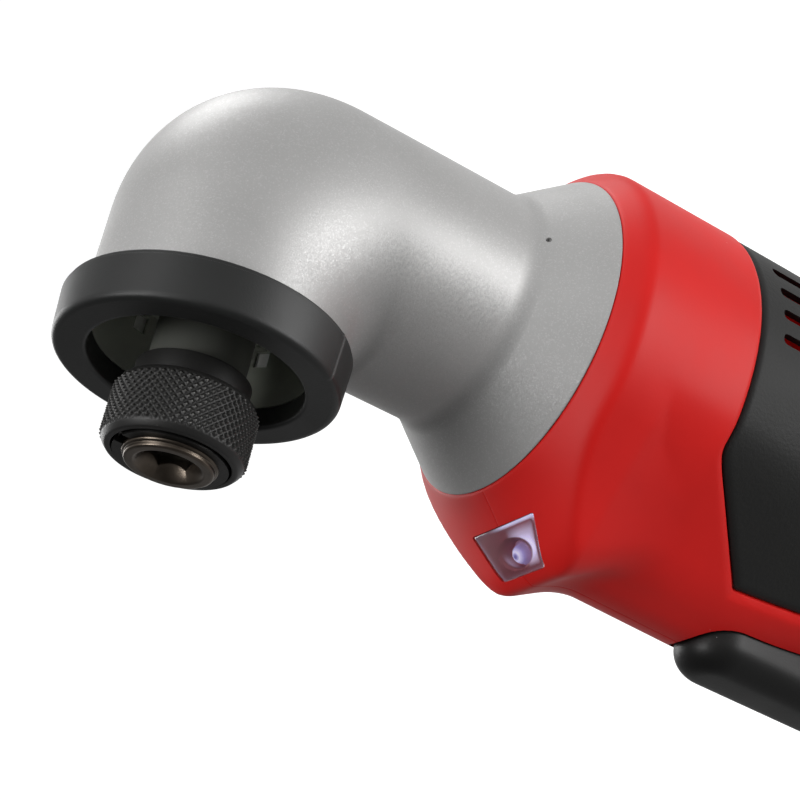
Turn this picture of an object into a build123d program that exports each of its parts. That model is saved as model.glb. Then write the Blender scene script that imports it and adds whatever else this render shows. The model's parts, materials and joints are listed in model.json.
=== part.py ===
"""Right angle impact driver with a slide-in battery pack.

Millimetres, +Z up. The tool stands on its battery foot. The handle axis is Z and the chuck points to -Y.
Head pieces are drawn along HEAD, whose local z runs out through the chuck.
Barrel pieces are drawn along BARREL, whose local z runs down from the head into the handle.
"""
from build123d import *
from math import acos, atan2, cos, pi, radians, sin, sqrt, tan
import os

os.makedirs("parts", exist_ok=True)

# Clearances
RUNNING = 0.05  # radial, a shaft that turns or slides in its bore
SEATED = 0.03  # radial, a piece pressed or dropped into its seat
GAP = 0.3  # pieces that pass each other

# Head and chuck, from the photograph
HEAD_Z = 262.0  # output axis above the foot
HEAD_R = 17.1
NECK_R = 18.2
BEND = 8.0  # centre line radius of the elbow
ELBOW_S = 21.2  # where the straight head begins, from the handle axis
ELBOW_D = 22.5  # where the straight neck begins, below the head axis
CASE_FRONT = 25.0
SPIGOT_R = 16.4  # front spigot under the guard ring
GUARD_R = 20.1
GUARD_FRONT = 28.4
GUARD_MOUTH_R = 14.9
SLEEVE_R = 10.0
SLEEVE_KNURL_BACK = 32.6
SLEEVE_KNURL_FRONT = 40.2
SLEEVE_FRONT = 41.0
SLEEVE_RIM_R = 8.9
SLEEVE_TRAVEL = 2.4
NOSE_R = 6.7
NOSE_FRONT = 43.5
HEX_ACROSS_FLATS = 6.4
HEX_BACK = 18.5
HEX_LEAD_R = 4.6
BIT_BALL_R = 2.0
BIT_BALL_S = 34.6
TAIL_R = 3.5  # rear journal of the output spindle
TAIL_BUSH_R = 6.5
TAIL_BUSH_FRONT = 5.4
TAIL_BUSH_BACK = 10.2
WHEEL_BORE_R = 5.5
WHEEL_SEAT = 8.3  # back face of the bevel wheel
JOURNAL_R = 7.5  # front journal of the output spindle
HEAD_BEARING_R = 12.0
HEAD_BEARING_LONG = 5.2

# Gear case along the neck, depths below the head axis
NECK_CREASE = 36.8
FLANGE_D = 46.4
FLANGE_R = 25.2
SPIGOT_BACK = 66.0
SPIGOT_BACK_R = 23.8

# Bevel pair
BEVEL_MODULE = 1.1
PINION_TEETH = 12
WHEEL_TEETH = 18
BEVEL_FACE = 4.0
PRESSURE = radians(25)
ADDENDUM = 0.8
DEDENDUM = 1.05
TOOTH_PLAY = 0.14

# Planetary stage
GEAR_MODULE = 0.8
SUN_TEETH = 12
PLANET_TEETH = 18
RING_TEETH = 48
PLANET_COUNT = 3
PLANET_LONG = 7.0
PLANET_PIN_R = 2.0
ORBIT_R = (SUN_TEETH + PLANET_TEETH) * GEAR_MODULE / 2

# Impact mechanism
BARREL_R = 15.3
PINION_SHAFT_R = 5.0
PINION_BEARING_R = 13.0
PINION_BEARING_D = 12.6  # below the head bearing's bore, so that the two bores stay apart
PINION_BEARING_LONG = 7.4
ANVIL_ARM = 4.4
ANVIL_R = 14.2
HAMMER_R = 14.7
HAMMER_LONG = 13.0
HAMMER_JAW = 4.0
HAMMER_TRAVEL = 5.0
CAM_R = 6.5
CAM_BALL_R = 2.2
CARRIER_D = 47.0
CARRIER_R = 17.2
CARRIER_PLATE = 2.6
HUB_R = 10.0
HUB_BEARING_R = 16.0
HUB_BEARING_LONG = 7.0

# Motor
MOTOR_R = 18.5
MOTOR_WALL = 1.6
MOTOR_LONG = 43.0
END_BELL_LONG = 6.0
SHAFT_R = 2.5
ARMATURE_R = 12.9

# Foot of the battery, which the end of the handle meets
BASE_HALF_X = 29.2
BASE_HALF_Y = 30.0

# Handle shell: height, half width, reach to +Y, reach to -Y
SHELL = (
    (212.5, 28.4, 28.2, 28.4),
    (200.0, 28.4, 28.2, 30.6),
    (188.0, 28.4, 28.2, 31.2),
    (168.0, 28.0, 28.0, 31.3),
    (148.0, 26.8, 27.2, 30.2),
    (128.0, 25.4, 26.4, 28.2),
    (108.0, 24.8, 26.0, 26.8),
    (84.0, 24.8, 26.0, 26.0),
    (60.0, 25.4, 26.4, 26.0),
    (36.0, 27.0, 27.6, 27.2),
    (20.4, BASE_HALF_X - 0.6, BASE_HALF_Y - 0.8, BASE_HALF_Y - 1.2),
)
SHELL_LOW = SHELL[-1][0]
SHELL_WALL = 4.2  # with the rubber
RUBBER = 1.5
RUBBER_TOP = HEAD_Z - 69.7
CHIN_SLOPE = 1.07  # growth of the radius with depth on the front face
CHIN_LOW_Y = -36.2
CHIN_TOP_HALF = 22.0  # half width where the chin leaves the body
CHIN_CORNER = (11.4, -33.1)
CHIN_LOW_HALF = 6.5
CHIN_FLOOR_END = 57.2  # depth where the floor starts to fall back
CHIN_FALL = 13.0  # depth over which it falls into the body
CHIN_END_Y = -24.5
KEEL_Y = -33.5  # ridge under the handle, from the chin to the trigger
KEEL_HALF = 2.0
KEEL_EDGE = (8.3, -30.25)  # where the ridge's flanks meet the sides

# Trigger
TRIGGER_HALF = 6.6
TRIGGER_LOW_Y = -37.4
TRIGGER_EDGE = 3.0
TRIGGER_NOSE_Z = HEAD_Z - 85.0
TRIGGER_TAIL_Z = 106.5
TRIGGER_IN_Y = -25.6
TRIGGER_ROOT_Y = -22.6  # inner side round the pivot
PIVOT_Y = -25.8
PIVOT_Z = 166.5
PIVOT_R = 1.5
PLUNGER_Z = 116.0
SHUTTLE_Z = 134.0
SHUTTLE_Y = -11.0
SHUTTLE_HALF = 29.2
SHUTTLE_HALF_Y = 4.5
SHUTTLE_HALF_Z = 3.5

# Battery pack
CELL_R = 9.2
CELL_LONG = 65.0
CELL_STEP = 18.6
CELL_LOW = 18.6
STEM_WALL = 1.5
STEM_TOP = 95.0
BASE_TOP = 20.0
COVER = 3.0
LATCH_TRAVEL = 2.0
BASE_SCREWS = [(x * (BASE_HALF_X - 9.7), y * (BASE_HALF_Y - 9.5)) for x in (-1, 1) for y in (-1, 1)]
LATCH_IN_X = BASE_HALF_X - 4.8
LATCH_POCKET_X = BASE_HALF_X - 8.2
BLADE_X = (-7.0, 0.0, 7.0)

HEAD = Plane((0, 0, HEAD_Z), x_dir=(1, 0, 0), z_dir=(0, -1, 0))
BARREL = Plane((0, 0, HEAD_Z), x_dir=(1, 0, 0), z_dir=(0, 0, -1))
BASE = (Align.CENTER, Align.CENTER, Align.MIN)


def turned(*profile):
    """A lathe piece about Z from (radius, height) corners."""
    return revolve(Plane.XZ * make_face(Polyline(*profile, close=True)), Axis.Z)


def rod(radius, low, high, x=0.0, y=0.0):
    return Pos(x, y, low) * Cylinder(radius, high - low, align=BASE)


def tube(outer, inner, low, high):
    return turned((inner, low), (outer, low), (outer, high), (inner, high))


def block(x0, x1, y0, y1, z0, z1):
    return Pos((x0 + x1) / 2, (y0 + y1) / 2, (z0 + z1) / 2) * Box(x1 - x0, y1 - y0, z1 - z0)


def bar(start, end, radius):
    """A round bar between two points."""
    start, end = Vector(*start), Vector(*end)
    return Plane(start, z_dir=end - start) * Cylinder(radius, (end - start).length, align=BASE)


def group(*shapes):
    """Separate solids that share one node."""
    return Compound([solid for shape in shapes for solid in shape.solids()])


def coil(radius, wire, low, high, turns):
    """A compression spring about Z whose wire lies between two heights."""
    path = Helix((high - low - 2 * wire) / turns, high - low - 2 * wire, radius)
    start = Plane(path @ 0, z_dir=path % 0)
    print("coil gap", round((high - low - 2 * wire) / turns - 2 * wire, 2), "mm")
    return Pos(0, 0, low + wire) * sweep(start * Circle(wire), path=path, is_frenet=True)


def bearing(inner, outer, low, high, balls):
    """A ball bearing: two rings and the balls between them."""
    race = 0.28 * (outer - inner)
    ball_r = 0.2 * (outer - inner)
    middle = (low + high) / 2
    inner_ring = tube(inner + race, inner, low, high)
    outer_ring = tube(outer, outer - race, low, high)
    at = (inner + outer) / 2
    spheres = [Rot(0, 0, 360 * i / balls) * Pos(at, 0, middle) * Sphere(ball_r) for i in range(balls)]
    return group(inner_ring, outer_ring, *spheres)


# Teeth
def tooth_angles(pitch_r, teeth, addendum, dedendum, module, play):
    """Radii up one involute flank with the tooth's half angle at each."""
    base_r = pitch_r * cos(PRESSURE)
    root_r = pitch_r - dedendum * module
    tip_r = pitch_r + addendum * module
    half = pi / (2 * teeth) - play / (2 * pitch_r)
    spread = half + tan(PRESSURE) - PRESSURE
    low = max(base_r, root_r)
    radii = [low + (tip_r - low) * i / 3 for i in range(4)]
    if root_r < base_r - 0.01:
        radii.insert(0, root_r)
    flank = []
    for radius in radii:
        roll = acos(min(1.0, base_r / radius))
        flank.append((radius, spread - tan(roll) + roll))
    return flank


def spur_outline(teeth, addendum=ADDENDUM, dedendum=DEDENDUM, play=TOOTH_PLAY):
    flank = tooth_angles(teeth * GEAR_MODULE / 2, teeth, addendum, dedendum, GEAR_MODULE, play)
    points = []
    for i in range(teeth):
        centre = 2 * pi * i / teeth
        for radius, angle in flank:
            points.append((radius * cos(centre - angle), radius * sin(centre - angle)))
        for radius, angle in reversed(flank):
            points.append((radius * cos(centre + angle), radius * sin(centre + angle)))
    return make_face(Polyline(*points, close=True))


def spur_gear(teeth, bore, low, high):
    return Pos(0, 0, low) * extrude(spur_outline(teeth), high - low) - rod(bore, low - 1, high + 1)


def bevel_gear(teeth, mate_teeth, back, hub_r):
    """A straight bevel gear whose apex is the local origin; local z runs away from the apex."""
    cone = atan2(teeth, mate_teeth)
    pitch_r = teeth * BEVEL_MODULE / 2
    length = pitch_r / sin(cone)
    toe = (length - BEVEL_FACE) / length
    virtual_r = pitch_r / cos(cone)
    flank = tooth_angles(virtual_r, teeth / cos(cone), ADDENDUM, DEDENDUM + 0.15, BEVEL_MODULE, TOOTH_PLAY)
    outline = [(r * sin(-a), r * cos(a) - virtual_r) for r, a in flank]
    outline += [(r * sin(a), r * cos(a) - virtual_r) for r, a in reversed(flank)]
    heel_points = []
    for across, height in outline:
        out = pitch_r + height * cos(cone)
        along = length * cos(cone) - height * sin(cone)
        heel_points.append(Vector(out, across, along))
    heel_face = make_face(Polyline(*heel_points, close=True))
    toe_face = make_face(Polyline(*[point * toe for point in heel_points], close=True))
    tooth = loft([heel_face, toe_face], ruled=True)
    root = -DEDENDUM * BEVEL_MODULE
    root_r = pitch_r + root * cos(cone)
    root_z = length * cos(cone) - root * sin(cone)
    blank = turned(
        (0, root_z * toe), (root_r * toe, root_z * toe), (root_r, root_z), (hub_r, back), (0, back)
    )
    return blank + [Rot(0, 0, 360 * i / teeth) * tooth for i in range(teeth)]


# Gear case
def elbow_section(angle):
    """One oval across the elbow, on a plane that fans about the inner corner."""
    sine, cosine = sin(angle), cos(angle)
    share = sine * sine
    inner = (ELBOW_D - HEAD_R) * (1 - share) + (ELBOW_S - NECK_R) * share
    wide = NECK_R + BEND
    high = HEAD_R + BEND
    across, down = ELBOW_S - BEND, ELBOW_D - BEND
    a = (sine / wide) ** 2 + (cosine / high) ** 2
    b = -2 * (across * sine / wide**2 + down * cosine / high**2)
    c = (across / wide) ** 2 + (down / high) ** 2 - 1
    outer = (-b + sqrt(b * b - 4 * a * c)) / (2 * a)
    if ELBOW_S - (ELBOW_D + HEAD_R) * sine / max(cosine, 1e-6) >= BEND:
        outer = (ELBOW_D + HEAD_R) / cosine
    elif ELBOW_D - (ELBOW_S + NECK_R) * cosine / max(sine, 1e-6) >= BEND:
        outer = (ELBOW_S + NECK_R) / sine
    middle = (inner + outer) / 2
    half_width = HEAD_R * (1 - share) + NECK_R * share
    centre = (0, -ELBOW_S + middle * sine, HEAD_Z - ELBOW_D + middle * cosine)
    plane = Plane(centre, x_dir=(0, sine, cosine), z_dir=(0, cosine, -sine))
    return plane * Ellipse((outer - inner) / 2, half_width)


RING_R = RING_TEETH * GEAR_MODULE / 2 + 2.6
HEAD_BEARING_FRONT = WHEEL_SEAT + HEAD_BEARING_LONG
RETAINER_FRONT = HEAD_BEARING_FRONT + 1.7
HAMMER_D = PINION_BEARING_D + PINION_BEARING_LONG + 1.0 + ANVIL_ARM + 0.6
PLANET_D = CARRIER_D + CARRIER_PLATE + 0.4
REAR_PLATE_D = PLANET_D + PLANET_LONG + 0.4
HUB_BEARING_D = REAR_PLATE_D + CARRIER_PLATE + 0.4
COVER_END = HUB_BEARING_D + HUB_BEARING_LONG + 1.6
MOTOR_D = COVER_END + 1.0


def gear_case():
    elbow = loft([elbow_section(radians(step)) for step in (0, 15, 30, 45, 60, 75, 90)])
    head = turned(
        (0, ELBOW_S),
        (SPIGOT_R, ELBOW_S),
        (SPIGOT_R, CASE_FRONT),
        (0, CASE_FRONT),
    )
    neck = turned(
        (0, ELBOW_D),
        (NECK_R, ELBOW_D),
        (NECK_R, NECK_CREASE),
        (FLANGE_R, FLANGE_D),
        (SPIGOT_BACK_R, FLANGE_D),
        (SPIGOT_BACK_R, SPIGOT_BACK),
        (0, SPIGOT_BACK),
    )
    head_room = turned(
        (0, -TAIL_BUSH_BACK),
        (TAIL_BUSH_R + SEATED, -TAIL_BUSH_BACK),
        (TAIL_BUSH_R + SEATED, -2.0),
        (HEAD_BEARING_R - 0.1, -2.0),
        (HEAD_BEARING_R - 0.1, WHEEL_SEAT + 0.1),
        (HEAD_BEARING_R + SEATED, WHEEL_SEAT + 0.1),
        (HEAD_BEARING_R + SEATED, HEAD_BEARING_FRONT + 0.2),
        (GUARD_MOUTH_R + 0.55, HEAD_BEARING_FRONT + 0.2),
        (GUARD_MOUTH_R + 0.55, CASE_FRONT + 1),
        (0, CASE_FRONT + 1),
    )
    seat = PINION_BEARING_D + PINION_BEARING_LONG
    barrel_room = turned(
        (0, 0),
        (9.0, 0),
        (9.0, PINION_BEARING_D - 0.1),
        (PINION_BEARING_R + SEATED, PINION_BEARING_D - 0.1),
        (PINION_BEARING_R + SEATED, seat + 0.1),
        (BARREL_R, seat + 0.1),
        (BARREL_R, CARRIER_D - 1.2),
        (CARRIER_R + 0.6, CARRIER_D - 1.2),
        (CARRIER_R + 0.6, PLANET_D - 0.5),
        (RING_R + SEATED, PLANET_D - 0.5),
        (RING_R + SEATED, SPIGOT_BACK + 1),
        (0, SPIGOT_BACK + 1),
    )
    body = elbow + HEAD * head + BARREL * neck
    return body - HEAD * head_room - BARREL * barrel_room


def guard_ring():
    profile = turned(
        (SPIGOT_R + SEATED, ELBOW_S + 0.1),
        (GUARD_R, ELBOW_S + 0.1),
        (GUARD_R - 0.1, GUARD_FRONT - 1.0),
        (GUARD_R - 0.9, GUARD_FRONT),
        (GUARD_MOUTH_R, GUARD_FRONT),
        (GUARD_MOUTH_R, CASE_FRONT + 0.1),
        (SPIGOT_R + SEATED, CASE_FRONT + 0.1),
    )
    return HEAD * profile


def bearing_retainer():
    """A dark cup that holds the head bearing and lines the mouth, with small windows onto the case."""
    cup = turned(
        (NOSE_R + 0.7, HEAD_BEARING_FRONT + 0.25),
        (GUARD_MOUTH_R + 0.52, HEAD_BEARING_FRONT + 0.25),
        (GUARD_MOUTH_R + 0.52, CASE_FRONT),
        (GUARD_MOUTH_R, CASE_FRONT),
        (GUARD_MOUTH_R, RETAINER_FRONT),
        (NOSE_R + 0.7, RETAINER_FRONT),
    )
    for step in range(5):
        cup -= Rot(0, 0, 163 + 72 * step) * block(14, 17, -1.1, 1.1, 16.0, 18.5)
    return HEAD * cup


# Output spindle and chuck
RING_GROOVE_S = SLEEVE_FRONT - 0.5
RING_GROOVE = 0.8
RING_GROOVE_DEEP = 0.5
LAND_BACK = BIT_BALL_S + 0.4  # behind the land the bore widens into a ramp that lets the balls out
LAND_FRONT = BIT_BALL_S + 2.0
CHUCK_ROOM_R = NOSE_R + 1.4


def output_spindle():
    blank = turned(
        (0, 0.6 - TAIL_BUSH_BACK),
        (TAIL_R, 0.6 - TAIL_BUSH_BACK),
        (TAIL_R, 0.2 - TAIL_BUSH_FRONT),
        (TAIL_R + 1, 0.2 - TAIL_BUSH_FRONT),
        (TAIL_R + 1, WHEEL_SEAT - 5.3),
        (WHEEL_BORE_R, WHEEL_SEAT - 5.3),
        (WHEEL_BORE_R, WHEEL_SEAT),
        (JOURNAL_R, WHEEL_SEAT),
        (JOURNAL_R, HEAD_BEARING_FRONT),
        (NOSE_R, HEAD_BEARING_FRONT),
        (NOSE_R, RING_GROOVE_S),
        (NOSE_R - RING_GROOVE_DEEP, RING_GROOVE_S),
        (NOSE_R - RING_GROOVE_DEEP, RING_GROOVE_S + RING_GROOVE),
        (NOSE_R, RING_GROOVE_S + RING_GROOVE),
        (NOSE_R, NOSE_FRONT - 0.9),
        (NOSE_R - 0.9, NOSE_FRONT),
        (0, NOSE_FRONT),
    )
    socket = Pos(0, 0, HEX_BACK) * extrude(
        RegularPolygon(HEX_ACROSS_FLATS / 2, 6, major_radius=False), NOSE_FRONT - HEX_BACK + 1
    )
    lead = turned((0, NOSE_FRONT - 1.6), (3.0, NOSE_FRONT - 1.6), (HEX_LEAD_R, NOSE_FRONT), (0, NOSE_FRONT))
    ball_bore = bar((-NOSE_R - 1, 0, BIT_BALL_S), (NOSE_R + 1, 0, BIT_BALL_S), BIT_BALL_R + RUNNING)
    return HEAD * (blank - socket - lead - ball_bore)


def chuck_sleeve():
    blank = turned(
        (CHUCK_ROOM_R, GUARD_FRONT + 0.4),
        (SLEEVE_R - 0.9, GUARD_FRONT + 0.4),
        (SLEEVE_R - 0.9, SLEEVE_KNURL_BACK - 0.6),
        (SLEEVE_R, SLEEVE_KNURL_BACK),
        (SLEEVE_R, SLEEVE_KNURL_FRONT),
        (SLEEVE_RIM_R, SLEEVE_FRONT),
        (CHUCK_ROOM_R, SLEEVE_FRONT),
        (CHUCK_ROOM_R, LAND_FRONT),
        (NOSE_R + RUNNING, LAND_FRONT),
        (NOSE_R + RUNNING, LAND_BACK),
    )
    return HEAD * blank


def sleeve_spring():
    wire = 0.3
    return HEAD * coil(NOSE_R + 0.75, wire, LAND_FRONT + 0.05, RING_GROOVE_S - 0.05, 3)


def retaining_ring():
    low, high = RING_GROOVE_S + SEATED, RING_GROOVE_S + RING_GROOVE - SEATED
    ring = tube(CHUCK_ROOM_R - 0.25, NOSE_R - RING_GROOVE_DEEP + SEATED, low, high)
    return HEAD * (ring - block(-1.2, 1.2, 3, 12, SLEEVE_FRONT - 3, SLEEVE_FRONT + 3))


def bit_ball(side):
    reach = NOSE_R + RUNNING - BIT_BALL_R - 0.02
    return HEAD * Pos(side * reach, 0, BIT_BALL_S) * Sphere(BIT_BALL_R)


def head_bearing():
    low, high = WHEEL_SEAT + 0.2, HEAD_BEARING_FRONT + 0.1
    return HEAD * bearing(JOURNAL_R + RUNNING, HEAD_BEARING_R, low, high, 11)


def bevel_wheel():
    wheel = bevel_gear(WHEEL_TEETH, PINION_TEETH, WHEEL_SEAT - 0.02, 8.0)
    return HEAD * (wheel - rod(WHEEL_BORE_R + SEATED, 2, WHEEL_SEAT + 1))


# Impact mechanism
def anvil_pinion():
    """The bevel pinion, its shaft and the two anvil arms in one piece."""
    gear = bevel_gear(PINION_TEETH, WHEEL_TEETH, PINION_BEARING_D - 0.2, 6.4)
    arms_top = PINION_BEARING_D + PINION_BEARING_LONG + 1.0
    arms_end = arms_top + ANVIL_ARM
    shaft = rod(PINION_SHAFT_R - RUNNING, PINION_BEARING_D - 0.3, arms_top + 0.1)
    shaft += rod(6.2, arms_top - 0.8, arms_end)
    arms = rod(ANVIL_R, arms_top, arms_end) & block(-4.6, 4.6, -20, 20, arms_top, arms_end)
    pilot_bore = rod(3.5 + RUNNING, arms_top + 0.2, arms_end + 1)
    return BARREL * (gear + shaft + arms - pilot_bore)


def pinion_bearing():
    low = PINION_BEARING_D
    return BARREL * bearing(PINION_SHAFT_R, PINION_BEARING_R, low, low + PINION_BEARING_LONG, 8)


CAM_BALL_D = HAMMER_D + 3.5
SPRING_RECESS = 6.5


def hammer():
    end = HAMMER_D + HAMMER_LONG
    body = turned(
        (CAM_R + RUNNING, HAMMER_D),
        (HAMMER_R, HAMMER_D),
        (HAMMER_R, end),
        (11.7, end),
        (11.7, end - SPRING_RECESS),
        (7.8, end - SPRING_RECESS),
        (7.8, end),
        (CAM_R + RUNNING, end),
    )
    jaw_ring = tube(HAMMER_R, 7.2, HAMMER_D - HAMMER_JAW, HAMMER_D + 0.5)
    body += jaw_ring & block(-20, 20, -5.2, 5.2, HAMMER_D - HAMMER_JAW, HAMMER_D + 0.5)
    for side in (-1, 1):
        body -= rod(CAM_BALL_R + RUNNING, HAMMER_D - 5, CAM_BALL_D, x=side * CAM_R)
        body -= Pos(side * CAM_R, 0, CAM_BALL_D) * Sphere(CAM_BALL_R + RUNNING)
    return BARREL * body


def hammer_spring():
    low = HAMMER_D + HAMMER_LONG - SPRING_RECESS + 0.1
    return BARREL * coil(9.75, 1.0, low, CARRIER_D - 0.1, 3.5)


def camshaft_carrier():
    """The camshaft, both carrier plates and the rear hub in one piece."""
    plate_end = CARRIER_D + CARRIER_PLATE
    rear_end = REAR_PLATE_D + CARRIER_PLATE
    body = turned(
        (0, HAMMER_D - 4.6),
        (3.5, HAMMER_D - 4.6),
        (3.5, HAMMER_D + 0.2),
        (CAM_R, HAMMER_D + 0.2),
        (CAM_R, CARRIER_D),
        (CARRIER_R, CARRIER_D),
        (CARRIER_R, plate_end),
        (0, plate_end),
    )
    hub = turned(
        (6.0, REAR_PLATE_D),
        (CARRIER_R, REAR_PLATE_D),
        (CARRIER_R, rear_end),
        (HUB_R - RUNNING, rear_end),
        (HUB_R - RUNNING, HUB_BEARING_D + HUB_BEARING_LONG),
        (6.0, HUB_BEARING_D + HUB_BEARING_LONG),
    )
    for side in (-1, 1):
        apex = (side * CAM_R, 0, CAM_BALL_D)
        body -= Pos(*apex) * Sphere(CAM_BALL_R + RUNNING)
        for turn in (-48, 48):
            across = side * CAM_R * cos(radians(turn))
            along = side * CAM_R * sin(radians(turn))
            end = (across, along, CAM_BALL_D + HAMMER_TRAVEL)
            body -= bar(apex, end, CAM_BALL_R + RUNNING)
            body -= Pos(*end) * Sphere(CAM_BALL_R + RUNNING)
    pillars = [
        Rot(0, 0, 60 + 360 * i / PLANET_COUNT) * rod(2.4, plate_end - 0.5, REAR_PLATE_D + 0.5, x=14.2)
        for i in range(PLANET_COUNT)
    ]
    body = body + hub + pillars
    for i in range(PLANET_COUNT):
        pin_bore = rod(PLANET_PIN_R + SEATED, CARRIER_D - 1, rear_end + 1, x=ORBIT_R)
        body -= Rot(0, 0, 360 * i / PLANET_COUNT) * pin_bore
    return BARREL * body


def cam_balls():
    return BARREL * group(*[Pos(side * CAM_R, 0, CAM_BALL_D) * Sphere(CAM_BALL_R) for side in (-1, 1)])


def planet_pins():
    pin = rod(PLANET_PIN_R, CARRIER_D + 0.2, REAR_PLATE_D + CARRIER_PLATE - 0.2, x=ORBIT_R)
    return BARREL * group(*[Rot(0, 0, 360 * i / PLANET_COUNT) * pin for i in range(PLANET_COUNT)])


def planet_gear(index):
    """A planet turned so that one of its gaps faces the sun and the gap behind it faces the ring."""
    gear = spur_gear(PLANET_TEETH, PLANET_PIN_R + RUNNING, PLANET_D, PLANET_D + PLANET_LONG)
    place = Rot(0, 0, 360 * index / PLANET_COUNT) * Pos(ORBIT_R, 0, 0)
    return BARREL * place * Rot(0, 0, 180 / PLANET_TEETH) * gear


def ring_gear():
    low, high = PLANET_D - 0.4, PLANET_D + PLANET_LONG + 0.4
    spaces = spur_outline(RING_TEETH, addendum=DEDENDUM, dedendum=ADDENDUM, play=-TOOTH_PLAY)
    cutter = Rot(0, 0, 180 / RING_TEETH) * Pos(0, 0, low - 1) * extrude(spaces, high - low + 2)
    return BARREL * (rod(RING_R, low, high) - cutter)


def sun_pinion():
    return BARREL * spur_gear(SUN_TEETH, SHAFT_R + SEATED, PLANET_D + 0.2, PLANET_D + PLANET_LONG + 0.8)


def gearbox_cover():
    """Closes the gear case and seats the carrier's bearing."""
    front = PLANET_D + PLANET_LONG + 0.5
    plate = turned(
        (CARRIER_R + 0.5, front),
        (RING_R, front),
        (RING_R, SPIGOT_BACK + 0.2),
        (SPIGOT_BACK_R - 0.1, SPIGOT_BACK + 0.2),
        (SPIGOT_BACK_R - 0.1, COVER_END),
        (12.6, COVER_END),
        (12.6, HUB_BEARING_D + HUB_BEARING_LONG + 0.1),
        (HUB_BEARING_R + SEATED, HUB_BEARING_D + HUB_BEARING_LONG + 0.1),
        (HUB_BEARING_R + SEATED, HUB_BEARING_D - 0.2),
        (CARRIER_R + 0.5, HUB_BEARING_D - 0.2),
    )
    return BARREL * plate


def carrier_bearing():
    return BARREL * bearing(HUB_R, HUB_BEARING_R, HUB_BEARING_D, HUB_BEARING_D + HUB_BEARING_LONG, 12)


# Motor
BUSH_R = 5.0
MOTOR_END = MOTOR_D + MOTOR_LONG
BELL_END = MOTOR_END + END_BELL_LONG
COMMUTATOR_R = 5.2
BRUSH_D = MOTOR_END - 3.5


def motor_can():
    inside = MOTOR_R - MOTOR_WALL
    can = turned(
        (BUSH_R + SEATED, MOTOR_D - 2.2),
        (7.2, MOTOR_D - 2.2),
        (7.2, MOTOR_D),
        (MOTOR_R, MOTOR_D),
        (MOTOR_R, MOTOR_END),
        (inside, MOTOR_END),
        (inside, MOTOR_D + 2),
        (BUSH_R + SEATED, MOTOR_D + 2),
    )
    for i in range(4):
        can -= Rot(0, 0, 45 + 90 * i) * block(15, 20, -4, 4, MOTOR_D + 3.2, MOTOR_D + 9)
    return BARREL * can


def bushes():
    """Plain bearings: the spindle's rear end and both ends of the motor shaft."""
    spindle = HEAD * tube(TAIL_BUSH_R, TAIL_R + RUNNING, -TAIL_BUSH_BACK + 0.1, -TAIL_BUSH_FRONT)
    front = BARREL * tube(BUSH_R, SHAFT_R + RUNNING, MOTOR_D - 2.1, MOTOR_D + 1.9)
    rear = BARREL * tube(BUSH_R, SHAFT_R + RUNNING, BELL_END - 4.0, BELL_END - 0.1)
    return group(spindle, front, rear)


def motor_magnets():
    ring = tube(MOTOR_R - MOTOR_WALL - SEATED, ARMATURE_R + 0.6, MOTOR_D + 11, MOTOR_END - 7.5)
    sides = [ring & block(x0, x0 + 20, -12.5, 12.5, MOTOR_D, MOTOR_END) for x0 in (2, -22)]
    return BARREL * group(*sides)


def cooling_fan():
    low = MOTOR_D + 3.0
    disc = tube(15.6, SHAFT_R + SEATED, low + 5.0, low + 6.0) + tube(4.5, SHAFT_R + SEATED, low, low + 5.5)
    blade = block(4.2, 15.4, -0.6, 0.6, low, low + 5.5)
    return BARREL * (disc + [Rot(0, 0, 360 * i / 9) * blade for i in range(9)])


CORE_D = MOTOR_D + 13.5
CORE_END = CORE_D + 17.0
SLOTS = 8


def armature_core():
    core = tube(ARMATURE_R, SHAFT_R + SEATED, CORE_D, CORE_END)
    mouth = block(11, 14, -0.9, 0.9, CORE_D - 1, CORE_END + 1)
    well = rod(2.4, CORE_D - 1, CORE_END + 1, x=9.4)
    for i in range(SLOTS):
        core -= Rot(0, 0, 360 * (i + 0.5) / SLOTS) * (mouth + well)
    return BARREL * core


def armature_windings():
    """End turns at both ends and the copper lying in each slot."""
    low = Pos(0, 0, CORE_D - 1.9) * Torus(8.4, 1.8)
    high = Pos(0, 0, CORE_END + 1.9) * Torus(8.4, 1.8)
    leg = rod(2.2, CORE_D - 1.9, CORE_END + 1.9, x=9.4)
    legs = [Rot(0, 0, 360 * (i + 0.5) / SLOTS) * leg for i in range(SLOTS)]
    return BARREL * (low + high + legs)


def commutator():
    low, high = CORE_END + 4.2, BELL_END - 4.4
    body = tube(COMMUTATOR_R, SHAFT_R + SEATED, low, high)
    for i in range(SLOTS):
        body -= Rot(0, 0, 360 * i / SLOTS) * block(4.4, 6, -0.25, 0.25, low + 1, high + 1)
    return BARREL * body


def motor_shaft():
    return BARREL * rod(SHAFT_R, PLANET_D + 0.4, BELL_END + 0.6)


def end_bell():
    inside = MOTOR_R - MOTOR_WALL
    bell = turned(
        (inside - 1.4, MOTOR_END + 0.05),
        (MOTOR_R, MOTOR_END + 0.05),
        (MOTOR_R, BELL_END),
        (BUSH_R + SEATED, BELL_END),
        (BUSH_R + SEATED, BELL_END - 4.1),
        (7.2, BELL_END - 4.1),
        (7.2, BELL_END - 2.2),
        (inside - 1.4, BELL_END - 2.2),
    )
    for side in (-1, 1):
        near, far = sorted((side * 7.4, side * (inside - 0.6)))
        bell += block(near, far, -3.6, 3.6, BRUSH_D - 2.8, BELL_END - 2.0)
        near, far = sorted((side * 5.0, side * (inside - 2.6)))
        bell -= block(near, far, -2.5 - SEATED, 2.5 + SEATED, BRUSH_D - 2 - SEATED, BRUSH_D + 2 + SEATED)
    return BARREL * bell


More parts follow.
